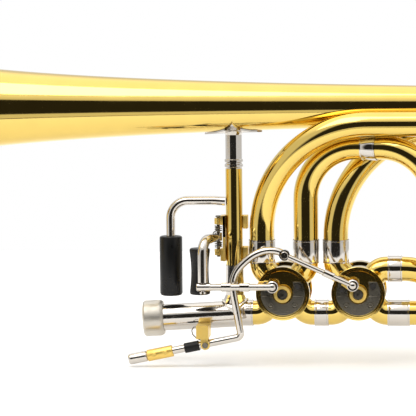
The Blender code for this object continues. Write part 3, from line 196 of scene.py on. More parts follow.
def leaning(points, side):
    """The (x, z) points, eased sideways from 0 to side along their run."""
    lengths = [0.0]
    for start, end in zip(points, points[1:]):
        lengths.append(lengths[-1] + (end - start).length)
    shares = [length / lengths[-1] for length in lengths]
    return [Vector((p.x, side * share * share * (3 - 2 * share), p.y)) for p, share in zip(points, shares)]


def rounded(corners, radius):
    corners = [Vector(corner) for corner in corners]
    path = [corners[0]]
    for before, corner, after in zip(corners, corners[1:], corners[2:]):
        incoming = (corner - before).normalized()
        outgoing = (after - corner).normalized()
        bend = incoming.angle(outgoing)
        centre = corner + (outgoing - incoming).normalized() * (radius / math.cos(bend / 2))
        start = corner - incoming * radius * math.tan(bend / 2) - centre
        axis = incoming.cross(outgoing).normalized()
        steps = max(4, round(math.degrees(bend) / 5))
        for step in range(steps + 1):
            path.append(centre + Matrix.Rotation(bend * step / steps, 3, axis) @ start)
    path.append(corners[-1])
    return path


def spline(points, each=6):
    """A smooth path through all the points."""
    points = [Vector(point) for point in points]
    held = points[:1] + points + points[-1:]
    path = []
    for a, b, c, d in zip(held, held[1:], held[2:], held[3:]):
        for step in range(each):
            t = step / each
            square = (a * 2 - b * 5 + c * 4 - d) * t**2
            cube = (b * 3 - a - c * 3 + d) * t**3
            path.append((b * 2 + (c - a) * t + square + cube) / 2)
    return path + [points[-1]]


# %% [markdown]
# ## Finishes
# Each finish breaks up its roughness with noise, as handled metal does, and adds a very fine ripple.

# %%
CLOUD_SCALE = 60.0
CLOUD_DETAIL = 6.0
CLOUD_RANGE = (0.3, 0.7)
TONE_RANGE = (0.25, 0.75)
DARKEST_TONE = 0.93
GRAIN_SCALE = 900.0
GRAIN_DEPTH = 0.0002
COAT_ROUGHNESS = 0.05
GRIP_SHINE = 0.25
EDGE_ANGLE = math.radians(50)
FLAT_ANGLE = math.radians(1)


def finish(name, colour, roughness, metallic, ripple, spread=0.5, anisotropic=0.0, coat=0.0):
    material = bpy.data.materials.new(name)
    material.use_nodes = True
    nodes = material.node_tree.nodes
    link = material.node_tree.links.new
    shader = nodes["Principled BSDF"]
    shader.inputs["Metallic"].default_value = metallic
    shader.inputs["Anisotropic"].default_value = anisotropic
    shader.inputs["Coat Weight"].default_value = coat
    shader.inputs["Coat Roughness"].default_value = COAT_ROUGHNESS
    place = nodes.new("ShaderNodeTexCoord")
    cloud = nodes.new("ShaderNodeTexNoise")
    cloud.inputs["Scale"].default_value = CLOUD_SCALE
    cloud.inputs["Detail"].default_value = CLOUD_DETAIL
    link(place.outputs["Object"], cloud.inputs["Vector"])
    rough = nodes.new("ShaderNodeMapRange")
    rough.inputs["From Min"].default_value = CLOUD_RANGE[0]
    rough.inputs["From Max"].default_value = CLOUD_RANGE[1]
    rough.inputs["To Min"].default_value = roughness * (1 - spread)
    rough.inputs["To Max"].default_value = roughness * (1 + spread)
    link(cloud.outputs["Fac"], rough.inputs["Value"])
    link(rough.outputs["Result"], shader.inputs["Roughness"])
    tone = nodes.new("ShaderNodeValToRGB")
    tone.color_ramp.elements[0].position = TONE_RANGE[0]
    tone.color_ramp.elements[0].color = (*[channel * DARKEST_TONE for channel in colour], 1)
    tone.color_ramp.elements[1].position = TONE_RANGE[1]
    tone.color_ramp.elements[1].color = (*colour, 1)
    link(cloud.outputs["Fac"], tone.inputs["Fac"])
    link(tone.outputs["Color"], shader.inputs["Base Color"])
    grain = nodes.new("ShaderNodeTexNoise")
    grain.inputs["Scale"].default_value = GRAIN_SCALE
    link(place.outputs["Object"], grain.inputs["Vector"])
    bump = nodes.new("ShaderNodeBump")
    bump.inputs["Strength"].default_value = ripple
    bump.inputs["Distance"].default_value = GRAIN_DEPTH
    link(grain.outputs["Fac"], bump.inputs["Height"])
    link(bump.outputs["Normal"], shader.inputs["Normal"])
    return material


FINISH = {
    "brass": finish("lacquered_brass", (0.83, 0.605, 0.165), 0.07, 1.0, 0.02, coat=0.1),
    "nickel": finish("nickel_silver", (0.67, 0.63, 0.58), 0.10, 1.0, 0.03),
    "satin_nickel": finish("satin_nickel", (0.66, 0.62, 0.55), 0.42, 1.0, 0.12, anisotropic=0.6),
    # The steel colour is painted very dark. It stands in for the dark reflection on the mirror-like valve
    # faces.
    "steel": finish("steel_with_painted_dark_reflection", (0.17, 0.155, 0.125), 0.20, 1.0, 0.05),
    "black_grip": finish("satin_black", (0.008, 0.008, 0.008), 0.34, 0.0, 0.12),
    "rubber": finish("black_rubber", (0.02, 0.018, 0.016), 0.7, 0.0, 0.4),
}
grip_shader = FINISH["black_grip"].node_tree.nodes["Principled BSDF"]
grip_shader.inputs["Specular IOR Level"].default_value = GRIP_SHINE
SATIN_BRASS = finish("satin_brass", (0.90, 0.64, 0.18), 0.45, 1.0, 0.05)
SATIN_NODES = ("lever1_bracket", "lever2_bracket", "lever2_clamp", "valve1_stop_arm", "valve2_stop_arm")
shown = set()


def look(node):
    return SATIN_BRASS if node in SATIN_NODES else FINISH[SLOT[node]]


def show(node, *shells, sharp=38):
    """The shells together stand for the node: they ride on its body and take its slot."""
    points = []
    faces = []
    for shell_points, shell_faces in shells:
        faces += [tuple(index + len(points) for index in face) for face in shell_faces]
        points += shell_points
    mesh = bpy.data.meshes.new("smooth_" + node)
    mesh.from_pydata([point * MM for point in points], [], faces)
    bm = bmesh.new()
    bm.from_mesh(mesh)
    bmesh.ops.remove_doubles(bm, verts=bm.verts, dist=WELD)
    bmesh.ops.recalc_face_normals(bm, faces=bm.faces)
    bm.to_mesh(mesh)
    bm.free()
    mesh.shade_smooth()
    mesh.set_sharp_from_angle(angle=math.radians(sharp))
    mesh.materials.append(look(node))
    made = bpy.data.objects.new("smooth_" + node, mesh)
    bpy.context.scene.collection.objects.link(made)
    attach(made, BODY[node])
    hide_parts(node)
    shown.add(node)
    return made


def break_edges(made, width):
    """A fine bevel on every sharp edge, so that each one catches a line of light."""
    edge = made.modifiers.new("edges", "BEVEL")
    edge.width = width * MM
    edge.segments = 2
    edge.limit_method = "ANGLE"
    edge.angle_limit = EDGE_ANGLE


# %% [markdown]
# ## Bell
# The flare follows one power curve from the rim to the tail, with a wired bead at the rim.

# %%
def bell_radius(x):
    return RIM_RADIUS * (FLARE / (FLARE + x - RIM_X)) ** POWER


def bell_point(x, offset):
    slope = -POWER * bell_radius(x) / (FLARE + x - RIM_X)
    length = math.hypot(slope, 1.0)
    return (x - offset * slope / length, bell_radius(x) + offset / length)


skin_x = RIM_X + FLARE * (((RIM_RADIUS - BEAD_REACH * BEAD) / RIM_RADIUS) ** (-1 / POWER) - 1)
tail = FLARE + TAIL_X - RIM_X
span = math.log(tail / (FLARE + skin_x - RIM_X))
places = [RIM_X - FLARE + tail * math.exp(-span * step / BELL_STEPS) for step in range(BELL_STEPS + 1)]
bead = []
for angle in BEAD_ANGLES:
    at = polar(BEAD, angle)
    bead.append((RIM_X + BEAD + at.x, RIM_RADIUS - BEAD + at.y))
profile = [bell_point(x, 0.0) for x in places] + bead
profile += [bell_point(x, -BELL_WALL) for x in reversed(places)]
show("bell", lathe(profile, (0, 0, BELL_Z), ALONG, RIM_STEPS))

# %% [markdown]
# ## Brace, rest and slide receiver

# %%
BRACE_X = 64.2
GRIP_X = 19.4
GRIP_END_Z = 24.6
BAR_Z = 83.4
BAR_RADIUS = 3.15
BAR_BEND = 12.5
brace = [(119.7, 4.9), (105.7, 4.9), (105.7, 5.85), (17.5, 5.85), (17.5, 3.9), (119.7, 3.9)]
show("brace_tube", lathe(brace, (BRACE_X, 0, 0), UP))
corners = [(BRACE_X - 6.3, 0, 82.85), (BRACE_X - 14, 0, BAR_Z), (GRIP_X, 0, BAR_Z), (GRIP_X, 0, GRIP_END_Z)]
rest = rounded(corners, BAR_BEND)
show("grip_bar", sweep(rest[:1] + rest[-22:], BAR_RADIUS))
grip = [(58.5, 6.75), (58.1, 7.6), (57.3, 7.95), (18.4, 7.95), (17.2, 7.4), (16.6, 6.15), (16.6, 0.0)]
grip += [(24.3, 0.0), (24.3, 3.45), (58.5, 3.45)]
show("grip_sleeve", lathe(grip, (GRIP_X, 0, 0), UP))

axis = (math.cos(RISE), 0, math.sin(RISE))
receiver = [(67.4, 9.3), (8, 9.3), (8, 10.3), (6.5, 10.3), (6.5, 9.3), (1.5, 9.3), (1.5, 8.3), (67.4, 8.3)]
show("receiver_tube", lathe(receiver, (0, 0, 0), axis))
nut = [(14, 11.45), (12.6, 12.35), (11.4, 12.65)]
nut += [(1.2, 12.65), (0, 11.75), (0, 9.7), (6.2, 9.7), (6.2, 10.7), (8.3, 10.7), (8.3, 9.7), (14, 9.7)]
show("receiver_nut", lathe(nut, (0, 0, 0), axis, FINE_STEPS), sharp=20)


def ferrule(node, start, end, origin, direction):
    """A nickel ferrule with a fine bead and a line near each end."""
    out = FERRULE_OUTER
    bead = out + FERRULE_BEAD
    line = out - FERRULE_LINE
    outline = [(start, bead), (start + 0.9, bead), (start + 1.1, line), (start + 1.5, out)]
    outline += [(end - 1.5, out), (end - 1.1, line), (end - 0.9, bead), (end, bead)]
    outline += [(end, FERRULE_INNER), (start, FERRULE_INNER)]
    show(node, lathe(outline, origin, direction), sharp=20)


for name, start, end in (("receiver", 68.2, 77.1), ("intervalve", 120.3, 130.0), ("output", 171.2, 186.6)):
    ferrule(name + "_ferrule", start, end, (0, 0, LINE_Z), ALONG)
ferrule("gb_return_ferrule", 171.4, 181.5, (0, 0, GB_RETURN_Z), ALONG)
RISING = {"f_riser_ferrule": F_RISER_X, "f_crook_ferrule": F_CROOK_X, "gb_crook_ferrule": GB_CROOK_X}
for node, x in RISING.items():
    ferrule(node, *FERRULE_Z, (x, 0, 0), UP)

# %% [markdown]
# ## Rotary valves
# A knuckle's first ring is laid onto the casing, so that the pipe meets the round wall without entering it.

# %%
CASING_BORE = 15.9
KNUCKLE_START = 17.0
KNUCKLE_REACH = 16.7
KNUCKLE_BEND = 9.2
LINE_ENDS = ((68.5, 125.0), (125.3, 178.75))
GB_PORT_END = 176.3
BUMPER_AT = 11.4
BUMPERS = ((26.0, "right"), (164.0, "left"))


def ports(index):
    """The corner and the end of each knuckle of this valve, as (x, z) points."""
    x = VALVE_X[index]
    low = VALVE_Z - LINE_Z
    top = FERRULE_MIDDLE - HALF_GAP
    left = (F_RISER_X, GB_CROOK_X)[index]
    ends = LINE_ENDS[index]
    found = [((x - low, LINE_Z), (ends[0], LINE_Z)), ((x + low, LINE_Z), (ends[1], LINE_Z))]
    found.append(((left, VALVE_Z + x - left), (left, top)))
    if index == 0:
        found.append(((F_CROOK_X, VALVE_Z + F_CROOK_X - x), (F_CROOK_X, top)))
    else:
        found.append(((x + GB_RETURN_Z - VALVE_Z, GB_RETURN_Z), (GB_PORT_END, GB_RETURN_Z)))
    return found


def knuckle(index, corner, end):
    centre = Vector((VALVE_X[index], 0, VALVE_Z))
    corner = Vector((corner[0], 0, corner[1]))
    way = (corner - centre).normalized()
    path = rounded([centre + way * KNUCKLE_START, corner, (end[0], 0, end[1])], KNUCKLE_BEND)
    points, faces = sweep(path, TUBE, WALL)
    for start in (0, len(path) * TUBE_SIDES):
        for i in range(start, start + TUBE_SIDES):
            out = points[i] - centre
            along = out.dot(way)
            across = out.x**2 + out.z**2 - along**2
            points[i] = points[i] + way * (math.sqrt(KNUCKLE_REACH**2 - across) - along)
    return points, faces


casing = [(16.3, 17.5), (-16.3, 17.5), (-16.5, 18.6), (-16.7, 18.7), (-21.0, 18.7), (-21.2, 18.5)]
casing += [(-21.2, 17.4), (-20.8, 17.2), (-20.8, 17.0), (-21.2, 16.8), (-21.2, 16.1), (-20.9, CASING_BORE)]
casing += [(-19.5, CASING_BORE), (-19.5, 3.4), (-14.9, 3.4), (-14.9, CASING_BORE), (16.3, CASING_BORE)]
cap = [(20, 0), (20, 17.6), (19.7, 18.5), (19.0, 18.9), (10.2, 18.9), (10.2, 17.9), (16.6, 17.9)]
cap += [(16.6, 5), (17.6, 5), (17.6, 0)]
bumper = [(-19.8, 0), (-19.8, 2.05), (-22.2, 2.05), (-22.7, 1.7), (-22.9, 0.9), (-22.9, 0)]
for index, x in enumerate(VALVE_X):
    name = f"valve{index + 1}"
    centre = (x, 0, VALVE_Z)
    pipes = [knuckle(index, corner, end) for corner, end in ports(index)]
    show(name + "_casing", lathe(casing, centre, ACROSS, FINE_STEPS), *pipes, sharp=25)
    show(name + "_cap", lathe(cap, centre, ACROSS, FINE_STEPS), sharp=25)
    for angle, side in BUMPERS:
        at = polar(BUMPER_AT, angle)
        place = (x + at.x, 0, VALVE_Z + at.y)
        show(f"{name}_bumper_{side}", lathe(bumper, place, ACROSS, 32))

# %% [markdown]
# ## Front plates
# A half-moon slab lies round the hub, with two thinner ears under the bumpers and two screws.

# %%
PLATE_RADIUS = 15.3
PLATE_BACK = -19.8
PLATE_FRONT = -21.3
STEP_Z = -1.6
HUB_ROOM = 7.0
EAR_INNER = 7.1
EAR_TOP = 8.3
EAR_SETBACK = 0.35
SCREW_AT = 8.3
PLATE_BEVEL = 0.3


def slab(outline, front, back, centre):
    """A plate of this (x, z) outline about the centre."""
    x, z = centre
    count = len(outline)
    points = [Vector((x + p[0], y, z + p[1])) for y in (front, back) for p in outline]
    faces = [tuple(range(count)), tuple(range(2 * count - 1, count - 1, -1))]
    for i in range(count):
        j = (i + 1) % count
        faces.append((i, j, count + j, count + i))
    return points, faces


def arc_points(radius, start, end, steps=24):
    return [tuple(polar(radius, start + (end - start) * step / steps)) for step in range(steps + 1)]


screw = [(-21.6, 0), (-21.5, 0.9), (-21.2, 1.2), (-21.9, 1.7), (-22.0, 1.9), (-21.8, 2.3)]
screw += [(-20.6, 2.3), (-20.6, 0)]
for index, x in enumerate(VALVE_X):
    outer_end = math.degrees(math.asin(STEP_Z / PLATE_RADIUS))
    inner_end = math.degrees(math.asin(STEP_Z / HUB_ROOM))
    moon = arc_points(PLATE_RADIUS, outer_end, -180 - outer_end)
    moon += arc_points(HUB_ROOM, -180 - inner_end, inner_end)
    plates = [slab(moon, PLATE_FRONT, PLATE_BACK, (x, VALVE_Z))]
    top = math.degrees(math.asin(EAR_TOP / PLATE_RADIUS))
    ear = [(EAR_INNER, STEP_Z), (EAR_INNER, EAR_TOP)] + arc_points(PLATE_RADIUS, top, outer_end, 8)
    for side in (1, -1):
        outline = [(side * px, pz) for px, pz in ear]
        plates.append(slab(outline, PLATE_FRONT + EAR_SETBACK, PLATE_BACK, (x, VALVE_Z)))
        plates.append(lathe(screw, (x + side * SCREW_AT, 0, VALVE_Z - SCREW_AT), ACROSS, 32))
    break_edges(show(f"valve{index + 1}_bumper_plate", *plates, sharp=60), PLATE_BEVEL)

# %% [markdown]
# ## Valve loops and tuning slides

# %%
F_ARC_Z = 61.9
GB_ARC_Z = 58.0
CROOK_RADIUS = 37.0
CROOK_Z = 84.4
CROWN = 16.6
LOOP_BEND = 30.0
GB_SWERVE_X = (199, 219)
F_BOW_X = 330.0
GB_BOW_X = 320.0
MAIN_LEG_X = 272.0
MAIN_BOW_X = 318.0
MAIN_SMALL = 9.0
MAIN_GROWTH = 2.2
CROSS_X = 327
NECK_X = 179.05
SOCKET_X = 262
LEG_END = 314
COLLAR_X = 256.0
COLLAR_WALL = 0.8


def riser(x, arc_z, top_z, side, end_x):
    """A tube that rises from its valve, turns back and eases out to its side of the bell."""
    radius = top_z - arc_z
    start = Vector((x, 0, FERRULE_MIDDLE + HALF_GAP))
    arc = leaning(quarter((x + radius, arc_z), radius, 180, 90), side)
    return [start] + arc + [Vector((end_x, side, top_z))]


show("f_riser_tube", sweep(riser(F_RISER_X, F_ARC_Z, F_Z[1], F_Y, F_TUBE_END), TUBE, WALL))
show("gb_crook_tube", sweep(riser(GB_CROOK_X, GB_ARC_Z, GB_Z[1], GB_Y, GB_TUBE_END), TUBE, WALL))
crook_x = F_CROOK_X + CROOK_RADIUS
first = quarter((crook_x, CROOK_Z), CROOK_RADIUS, 180, 90, 18)
crown = [first[-1] + Vector((CROWN * share, 0)) for share in (0.34, 0.5, 0.9)]
second = quarter((crook_x + CROWN, CROOK_Z), CROOK_RADIUS, 90, 0, 18)
over = leaning(first + crown + second, F_Y)
middle = len(first) + 1
way = (over[middle + 1] - over[middle - 1]).normalized()
start = Vector((F_CROOK_X, 0, FERRULE_MIDDLE + HALF_GAP))
show("f_crook_tube", sweep([start] + over[:middle] + [over[middle] - way * HALF_GAP], TUBE, WALL))
down = rounded([over[-1], (over[-1].x, F_Y, F_Z[0]), (F_TUBE_END, F_Y, F_Z[0])], LOOP_BEND)
show("f_return_tube", sweep([over[middle] + way * HALF_GAP] + over[middle + 1:-1] + down, TUBE, WALL))
ferrule("f_crown_ferrule", -5.25, 5.25, over[middle], way)
corners = [(GB_PORT_END + 2 * HALF_GAP, 0, GB_RETURN_Z), (GB_SWERVE_X[0], 0, GB_RETURN_Z)]
corners += [(GB_SWERVE_X[1], GB_Y, GB_Z[0]), (GB_TUBE_END, GB_Y, GB_Z[0])]
show("gb_return_tube", sweep(rounded(corners, LOOP_BEND), TUBE, WALL))


def sleeve(node, ends, z, side, other_z, other_radius):
    """An outer slide tube with a guide ring at its mouth and the stay to the tube beside it."""
    start, end = ends
    ring = [(start, SLEEVE_OUTER), (end - 5, SLEEVE_OUTER), (end - 4.6, SLEEVE_RING)]
    ring += [(end - 0.4, SLEEVE_RING), (end, SLEEVE_OUTER), (end, SLEEVE_INNER), (start, SLEEVE_INNER)]
    target = Vector((STAY_X, 0, other_z))
    root = Vector((STAY_X, side, z))
    way = (target - root).normalized()
    stay = bar(root + way * STAY_START, target - way * (other_radius + STAY_STOP), STAY_RADIUS)
    pad_ends = [target - way * (other_radius + gap) for gap in STAY_PAD]
    pad = bar(*pad_ends, STAY_PAD_RADIUS)
    show(node, lathe(ring, (0, side, z), ALONG), stay, pad)


for name, ends, heights, side in (("f", F_SLEEVE, F_Z, F_Y), ("gb", GB_SLEEVE, GB_Z, GB_Y)):
    sleeve(name + "_upper_sleeve", ends, heights[1], side, BELL_Z, bell_radius(STAY_X))
    sleeve(name + "_lower_sleeve", ends, heights[0], side, LINE_Z, TUBE)


def bow(leg_x, bow_x, heights, side):
    """The path of a tuning slide: a leg, a half circle and the other leg."""
    radius = (heights[1] - heights[0]) / 2
    arc = quarter((bow_x, sum(heights) / 2), radius, -90, 90, BOW_STEPS)
    legs = Vector((leg_x, side, heights[0])), Vector((leg_x, side, heights[1]))
    return [legs[0]] + [Vector((p.x, side, p.y)) for p in arc] + [legs[1]]


show("f_slide", sweep(bow(F_TUBE_END + 2 * HALF_GAP, F_BOW_X, F_Z, F_Y), TUBE, WALL))
show("gb_slide", sweep(bow(GB_TUBE_END + 2 * HALF_GAP, GB_BOW_X, GB_Z, GB_Y), TUBE, WALL))
path = bow(MAIN_LEG_X, MAIN_BOW_X, (LINE_Z, BELL_Z), 0)
shares = [0] + [index / (len(path) - 3) for index in range(len(path) - 2)] + [1]
sizes = [MAIN_SMALL + MAIN_GROWTH * share for share in shares]
cross = bar((CROSS_X, 0, LINE_Z + 8.6), (CROSS_X, 0, BELL_Z - 10.8), STAY_RADIUS)
show("main_slide", sweep(path, MAIN_SMALL, WALL, sizes), cross)
neck = [(LEG_END, 10.2), (SOCKET_X + 0.6, 10.2), (SOCKET_X, 9.8), (SOCKET_X, TUBE), (NECK_X, TUBE)]
neck += [(NECK_X, TUBE - WALL), (SOCKET_X + 2, TUBE - WALL), (SOCKET_X + 2, 9.4), (LEG_END, 9.4)]
show("neckpipe", lathe(neck, (0, 0, LINE_Z), ALONG))
seat = bell_radius(COLLAR_X) + 0.4
collar = [(LEG_END, 12.4), (272, 12.4), (270, seat + COLLAR_WALL), (COLLAR_X, seat + COLLAR_WALL)]
collar += [(COLLAR_X, seat), (268.3, seat), (268.3, 11.6), (LEG_END, 11.6)]
show("bell_sleeve", lathe(collar, (0, 0, BELL_Z), ALONG))

# %% [markdown]
# ## Levers and links

# %%
LINK_Y = -28.8
PIN_RADIUS = 1.3
NUT_RIM = 0.7
NUT_SIDES = 12
THUMB_HINGE = (52.9, 0)
THUMB_TIP = (44.1, LINK_Y)
THUMB_Z = 58.0
THUMB_RADIUS = 3.5
THUMB_NECK = (2.0, 2.9)
THUMB_BEND = 10.0
PAD_TIP = (41.2, -17.0)
PAD_Z = 36.0
PAD_WAIST = 6.1
PAD_SWELL = 0.95
PAD_STEPS = 16
LINK1_Z = 25.8
LINK1_RADIUS = 2.4
STOP_PINS = ((8.7, 140.0), (7.6, 117.6))

hinge = Vector((*THUMB_HINGE, THUMB_Z))
corner = Vector((*THUMB_TIP, THUMB_Z))
way = (corner - hinge).normalized()
path = rounded([hinge + way * 2.9, corner, (*THUMB_TIP, 29.0)], THUMB_BEND)
path.insert(1, hinge + way * 9)
hub = [(55.2, 2.6), (60.8, 2.6), (60.8, 1.5), (55.2, 1.5)]
root = Vector((*THUMB_TIP, PAD_Z))
toward = (Vector((*PAD_TIP, PAD_Z)) - root).normalized()
stub = bar(root + toward, root + toward * 9, 1.8)
pin = bar((*THUMB_TIP, 20.9), (*THUMB_TIP, 30.0), PIN_RADIUS)
pin_nut = bar((*THUMB_TIP, 21.0), (*THUMB_TIP, 22.6), 2.2)
arm = sweep(path, THUMB_RADIUS, radii=[*THUMB_NECK] + [THUMB_RADIUS] * (len(path) - 2))
show("lever1_arm", arm, lathe(hub, (*THUMB_HINGE, 0), UP), stub, pin, pin_nut)
pad = [(51.7, 0), (51.7, 6.1), (51.3, 6.8), (50.5, 7.1)]
for step in range(PAD_STEPS + 1):
    share = step / PAD_STEPS
    pad.append((49.0 - 26.9 * share, PAD_WAIST + PAD_SWELL * (2 * share - 1) ** 2))
pad += [(20.6, 7.1), (19.8, 6.8), (19.4, 6.1), (19.4, 0)]
show("lever1_pad", lathe(pad, (*PAD_TIP, 0), UP))


def eye(centre):
    """A link's eye with the dome of its screw and the post behind."""
    x, y, z = centre
    head = [(y - 2.6, 0), (y - 2.55, 0.7), (y - 2.3, 1.5), (y - 1.9, 2.1), (y - 1.5, 2.4), (y, 2.4), (y, 0)]
    post = bar((x, y, z), (x, -26.3, z), 1.6)
    ring = [(y - 1.2, 0), (y - 1.2, 3.5), (y - 0.7, 4.1), (y + 0.7, 4.1), (y + 1.2, 3.5), (y + 1.2, 0)]
    return [lathe(ring, (x, 0, z), ACROSS), lathe(head, (x, 0, z), ACROSS, 40), post]


def rod(start, end, radius, nuts):
    """A link's rod, with a nut over each of these shares of its length."""
    start = Vector(start)
    end = Vector(end)
    shells = [bar(start, end, radius)]
    for first_share, last_share in nuts:
        nut_ends = start.lerp(end, first_share), start.lerp(end, last_share)
        shells.append(bar(*nut_ends, radius + NUT_RIM, steps=NUT_SIDES))
    return shells


pins = []
for index, (reach, angle) in enumerate(STOP_PINS):
    at = polar(reach, angle)
    pins.append(Vector((VALVE_X[index] + at.x, LINK_Y, VALVE_Z + at.y)))
fitting = [(39.8, 0), (39.8, 2.5), (40.2, 2.9), (49.1, 2.9), (49.5, 2.5), (49.5, 0)]
shaft = rod((48.5, LINK_Y, LINK1_Z), pins[0], LINK1_RADIUS, ((0.19, 0.35), (0.48, 0.64)))
show("link1", lathe(fitting, (0, LINK_Y, LINK1_Z), ALONG), *shaft, *eye(pins[0]), sharp=25)

FINGER_Y = -22.8
FINGER_RADIUS = 2.6
FINGER_BEND = 3.4
FINGER_HINGE = (45.2, -15.1)
FINGER_TIP = (-8.2, -25.7)
FINGER_FOOT = (70.0, -9.7)
FINGER_RISE = (68.6, -1.0)
FINGER_END = (100.8, 47.9)
ARC = [(67.9, 3.0), (66.4, 12.1), (65.0, 20.5), (64.6, 28.3), (67.0, 35.6), (72.3, 41.9)]
ARC += [(79.4, 47.4), (87.1, 50.3), (94.8, 50.3), FINGER_END]
CLAMP_START = 13
CLAMP_LENGTH = 18
LINK2_Y = -27.0
LINK2_RADIUS = 1.9


def placed(point, y):
    """An (x, z) point at this y."""
    return Vector((point[0], y, point[1]))


free = placed(FINGER_TIP, FINGER_Y)
foot = placed(FINGER_FOOT, FINGER_Y)
run = (foot - free).normalized()
bend = rounded([free, foot, placed(FINGER_RISE, FINGER_Y)], FINGER_BEND)
arc = sweep(bend[:-1] + spline([placed(point, FINGER_Y) for point in ARC]), FINGER_RADIUS)
tip = [(-0.4, 0), (-0.4, 3.0), (0.2, 3.6), (1.0, 3.75), (11.8, 3.75), (12.4, 3.5), (12.7, 3.0), (12.7, 0)]
hub = [(-24.9, 3.6), (-19.9, 3.6), (-19.9, 1.75), (-24.9, 1.75)]
shells = [arc, lathe(tip, free, run), lathe(hub, placed(FINGER_HINGE, 0), ACROSS)]
shells.append(bar(placed(FINGER_END, -24.4), placed(FINGER_END, -21.6), 3.4))
shells.append(bar(placed(FINGER_END, -29.4), placed(FINGER_END, -23.0), PIN_RADIUS))
shells.append(bar(placed(FINGER_END, -29.7), placed(FINGER_END, -28.5), 2.6))
show("lever2_arm", *shells)
ring = [(13, 3.7), (13.3, 4.0), (30.7, 4.0), (31, 3.7), (31, 2.65), (13, 2.65)]
screws = []
for share in (0.28, 0.72):
    at = free + run * (CLAMP_START + CLAMP_LENGTH * share)
    screws.append(bar(at + Vector((0, -4.8, 0)), at + Vector((0, -3.3, 0)), 1.7))
show("lever2_clamp", lathe(ring, free, run), *screws)
ring = [(39.5, 3.2), (39.8, 3.5), (49.7, 3.5), (50.0, 3.2), (50.0, 2.65), (39.5, 2.65)]
show("lever2_sleeve", lathe(ring, free, run))
start = placed(FINGER_END, LINK2_Y)
ring = [(-28.2, 3.7), (-25.8, 3.7), (-25.8, 1.75), (-28.2, 1.75)]
shaft = rod(start.lerp(pins[1], 0.055), pins[1], LINK2_RADIUS, ((0.55, 0.71),))
show("link2", lathe(ring, placed(FINGER_END, 0), ACROSS), *shaft, *eye(pins[1]), sharp=25)

# %% [markdown]
# ## Pieces with flats and steps
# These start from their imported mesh. Flat triangles are dissolved into faces, and a fine bevel breaks the
# edges, so that each edge catches a line of light.

# %%
def bevelled(node, width):
    mesh = frame["nodes"][node].data.copy()
    mesh.name = "bevelled_" + node
    bm = bmesh.new()
    bm.from_mesh(mesh)
    bmesh.ops.remove_doubles(bm, verts=bm.verts, dist=PACKED_WELD)
    bmesh.ops.dissolve_limit(bm, angle_limit=FLAT_ANGLE, verts=bm.verts, edges=bm.edges)
    bm.to_mesh(mesh)
    bm.free()
    mesh.materials.clear()
    mesh.materials.append(look(node))
    mesh.shade_smooth()
    mesh.set_sharp_from_angle(angle=EDGE_ANGLE)
    made = bpy.data.objects.new("bevelled_" + node, mesh)
    bpy.context.scene.collection.objects.link(made)
    break_edges(made, width)
    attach(made, BODY[node])
    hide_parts(node)
    shown.add(node)


for index in (1, 2):
    bevelled(f"valve{index}_stop_arm", 0.35)
    bevelled(f"lever{index}_bracket", 0.5)
    bevelled(f"lever{index}_pin", 0.15)
for node, held in frame["nodes"].items():
    if node not in shown:
        held.data.materials.clear()
        held.data.materials.append(look(node))
print(len(shown), "smooth pieces,", len(frame["nodes"]) - len(shown), "packed pieces")

# %% [markdown]
# ## Studio
# The camera sees plain white. Everything else sees a white tent with one dark card on the camera's side,
# which draws the long dark bands along the polished tubes.

# %%
CARD_EDGE = (-0.70, -0.82)
CARD_HEIGHT = 0.08
CARD_BANDS = ((0.0, 1.0), (0.36, 1.0), (0.41, 0.0), (0.57, 0.0), (0.60, 0.9), (0.66, 0.9), (0.70, 0.0))
CARD_DARK = (0.03, 0.028, 0.025, 1)
TENT_WHITE = (1.0, 0.99, 0.97, 1)
SKY_RANGE = (0.45, 0.85)
SKY_LIGHT = (0.8, 1.5)
FLOOR_Z = -31.0
FLOOR_X = (-600, 700)
FLOOR_Y = (-300, 700)
PAPER_GREY = (0.80, 0.80, 0.80, 1)
PAPER_GLOW = 0.22
LAMP_SIZE = 0.9
LAMP_POWER = 6.0
LAMP_AT = (-0.3, -0.5, 1.2)
LAMP_TARGET = (0.1, 0, 0.08)

world = bpy.data.worlds.new("tent")
bpy.context.scene.world = world
world.use_nodes = True
nodes = world.node_tree.nodes
link = world.node_tree.links.new
nodes.clear()
place = nodes.new("ShaderNodeTexCoord")
split = nodes.new("ShaderNodeSeparateXYZ")
link(place.outputs["Generated"], split.inputs["Vector"])
facing = nodes.new("ShaderNodeMapRange")
facing.interpolation_type = "SMOOTHSTEP"
facing.inputs["From Min"].default_value = CARD_EDGE[0]
facing.inputs["From Max"].default_value = CARD_EDGE[1]
link(split.outputs["Y"], facing.inputs["Value"])
height = nodes.new("ShaderNodeMath")
height.operation = "ABSOLUTE"
shift = nodes.new("ShaderNodeMath")
shift.operation = "SUBTRACT"
shift.inputs[1].default_value = CARD_HEIGHT
link(split.outputs["Z"], shift.inputs[0])
link(shift.outputs[0], height.inputs[0])
level = nodes.new("ShaderNodeValToRGB")
for position, shade in CARD_BANDS[2:]:
    level.color_ramp.elements.new(position)
for element, (position, shade) in zip(level.color_ramp.elements, CARD_BANDS):
    element.position = position
    element.color = (shade, shade, shade, 1)
link(height.outputs[0], level.inputs["Fac"])
card = nodes.new("ShaderNodeMath")
card.operation = "MULTIPLY"
link(facing.outputs["Result"], card.inputs[0])
link(level.outputs["Color"], card.inputs[1])
tone = nodes.new("ShaderNodeValToRGB")
tone.color_ramp.elements[0].color = TENT_WHITE
tone.color_ramp.elements[1].color = CARD_DARK
link(card.outputs[0], tone.inputs["Fac"])
tent = nodes.new("ShaderNodeBackground")
link(tone.outputs["Color"], tent.inputs["Color"])
sky = nodes.new("ShaderNodeMapRange")
sky.interpolation_type = "SMOOTHSTEP"
sky.inputs["From Min"].default_value = SKY_RANGE[0]
sky.inputs["From Max"].default_value = SKY_RANGE[1]
sky.inputs["To Min"].default_value = SKY_LIGHT[0]
sky.inputs["To Max"].default_value = SKY_LIGHT[1]
link(split.outputs["Z"], sky.inputs["Value"])
link(sky.outputs["Result"], tent.inputs["Strength"])
white = nodes.new("ShaderNodeBackground")
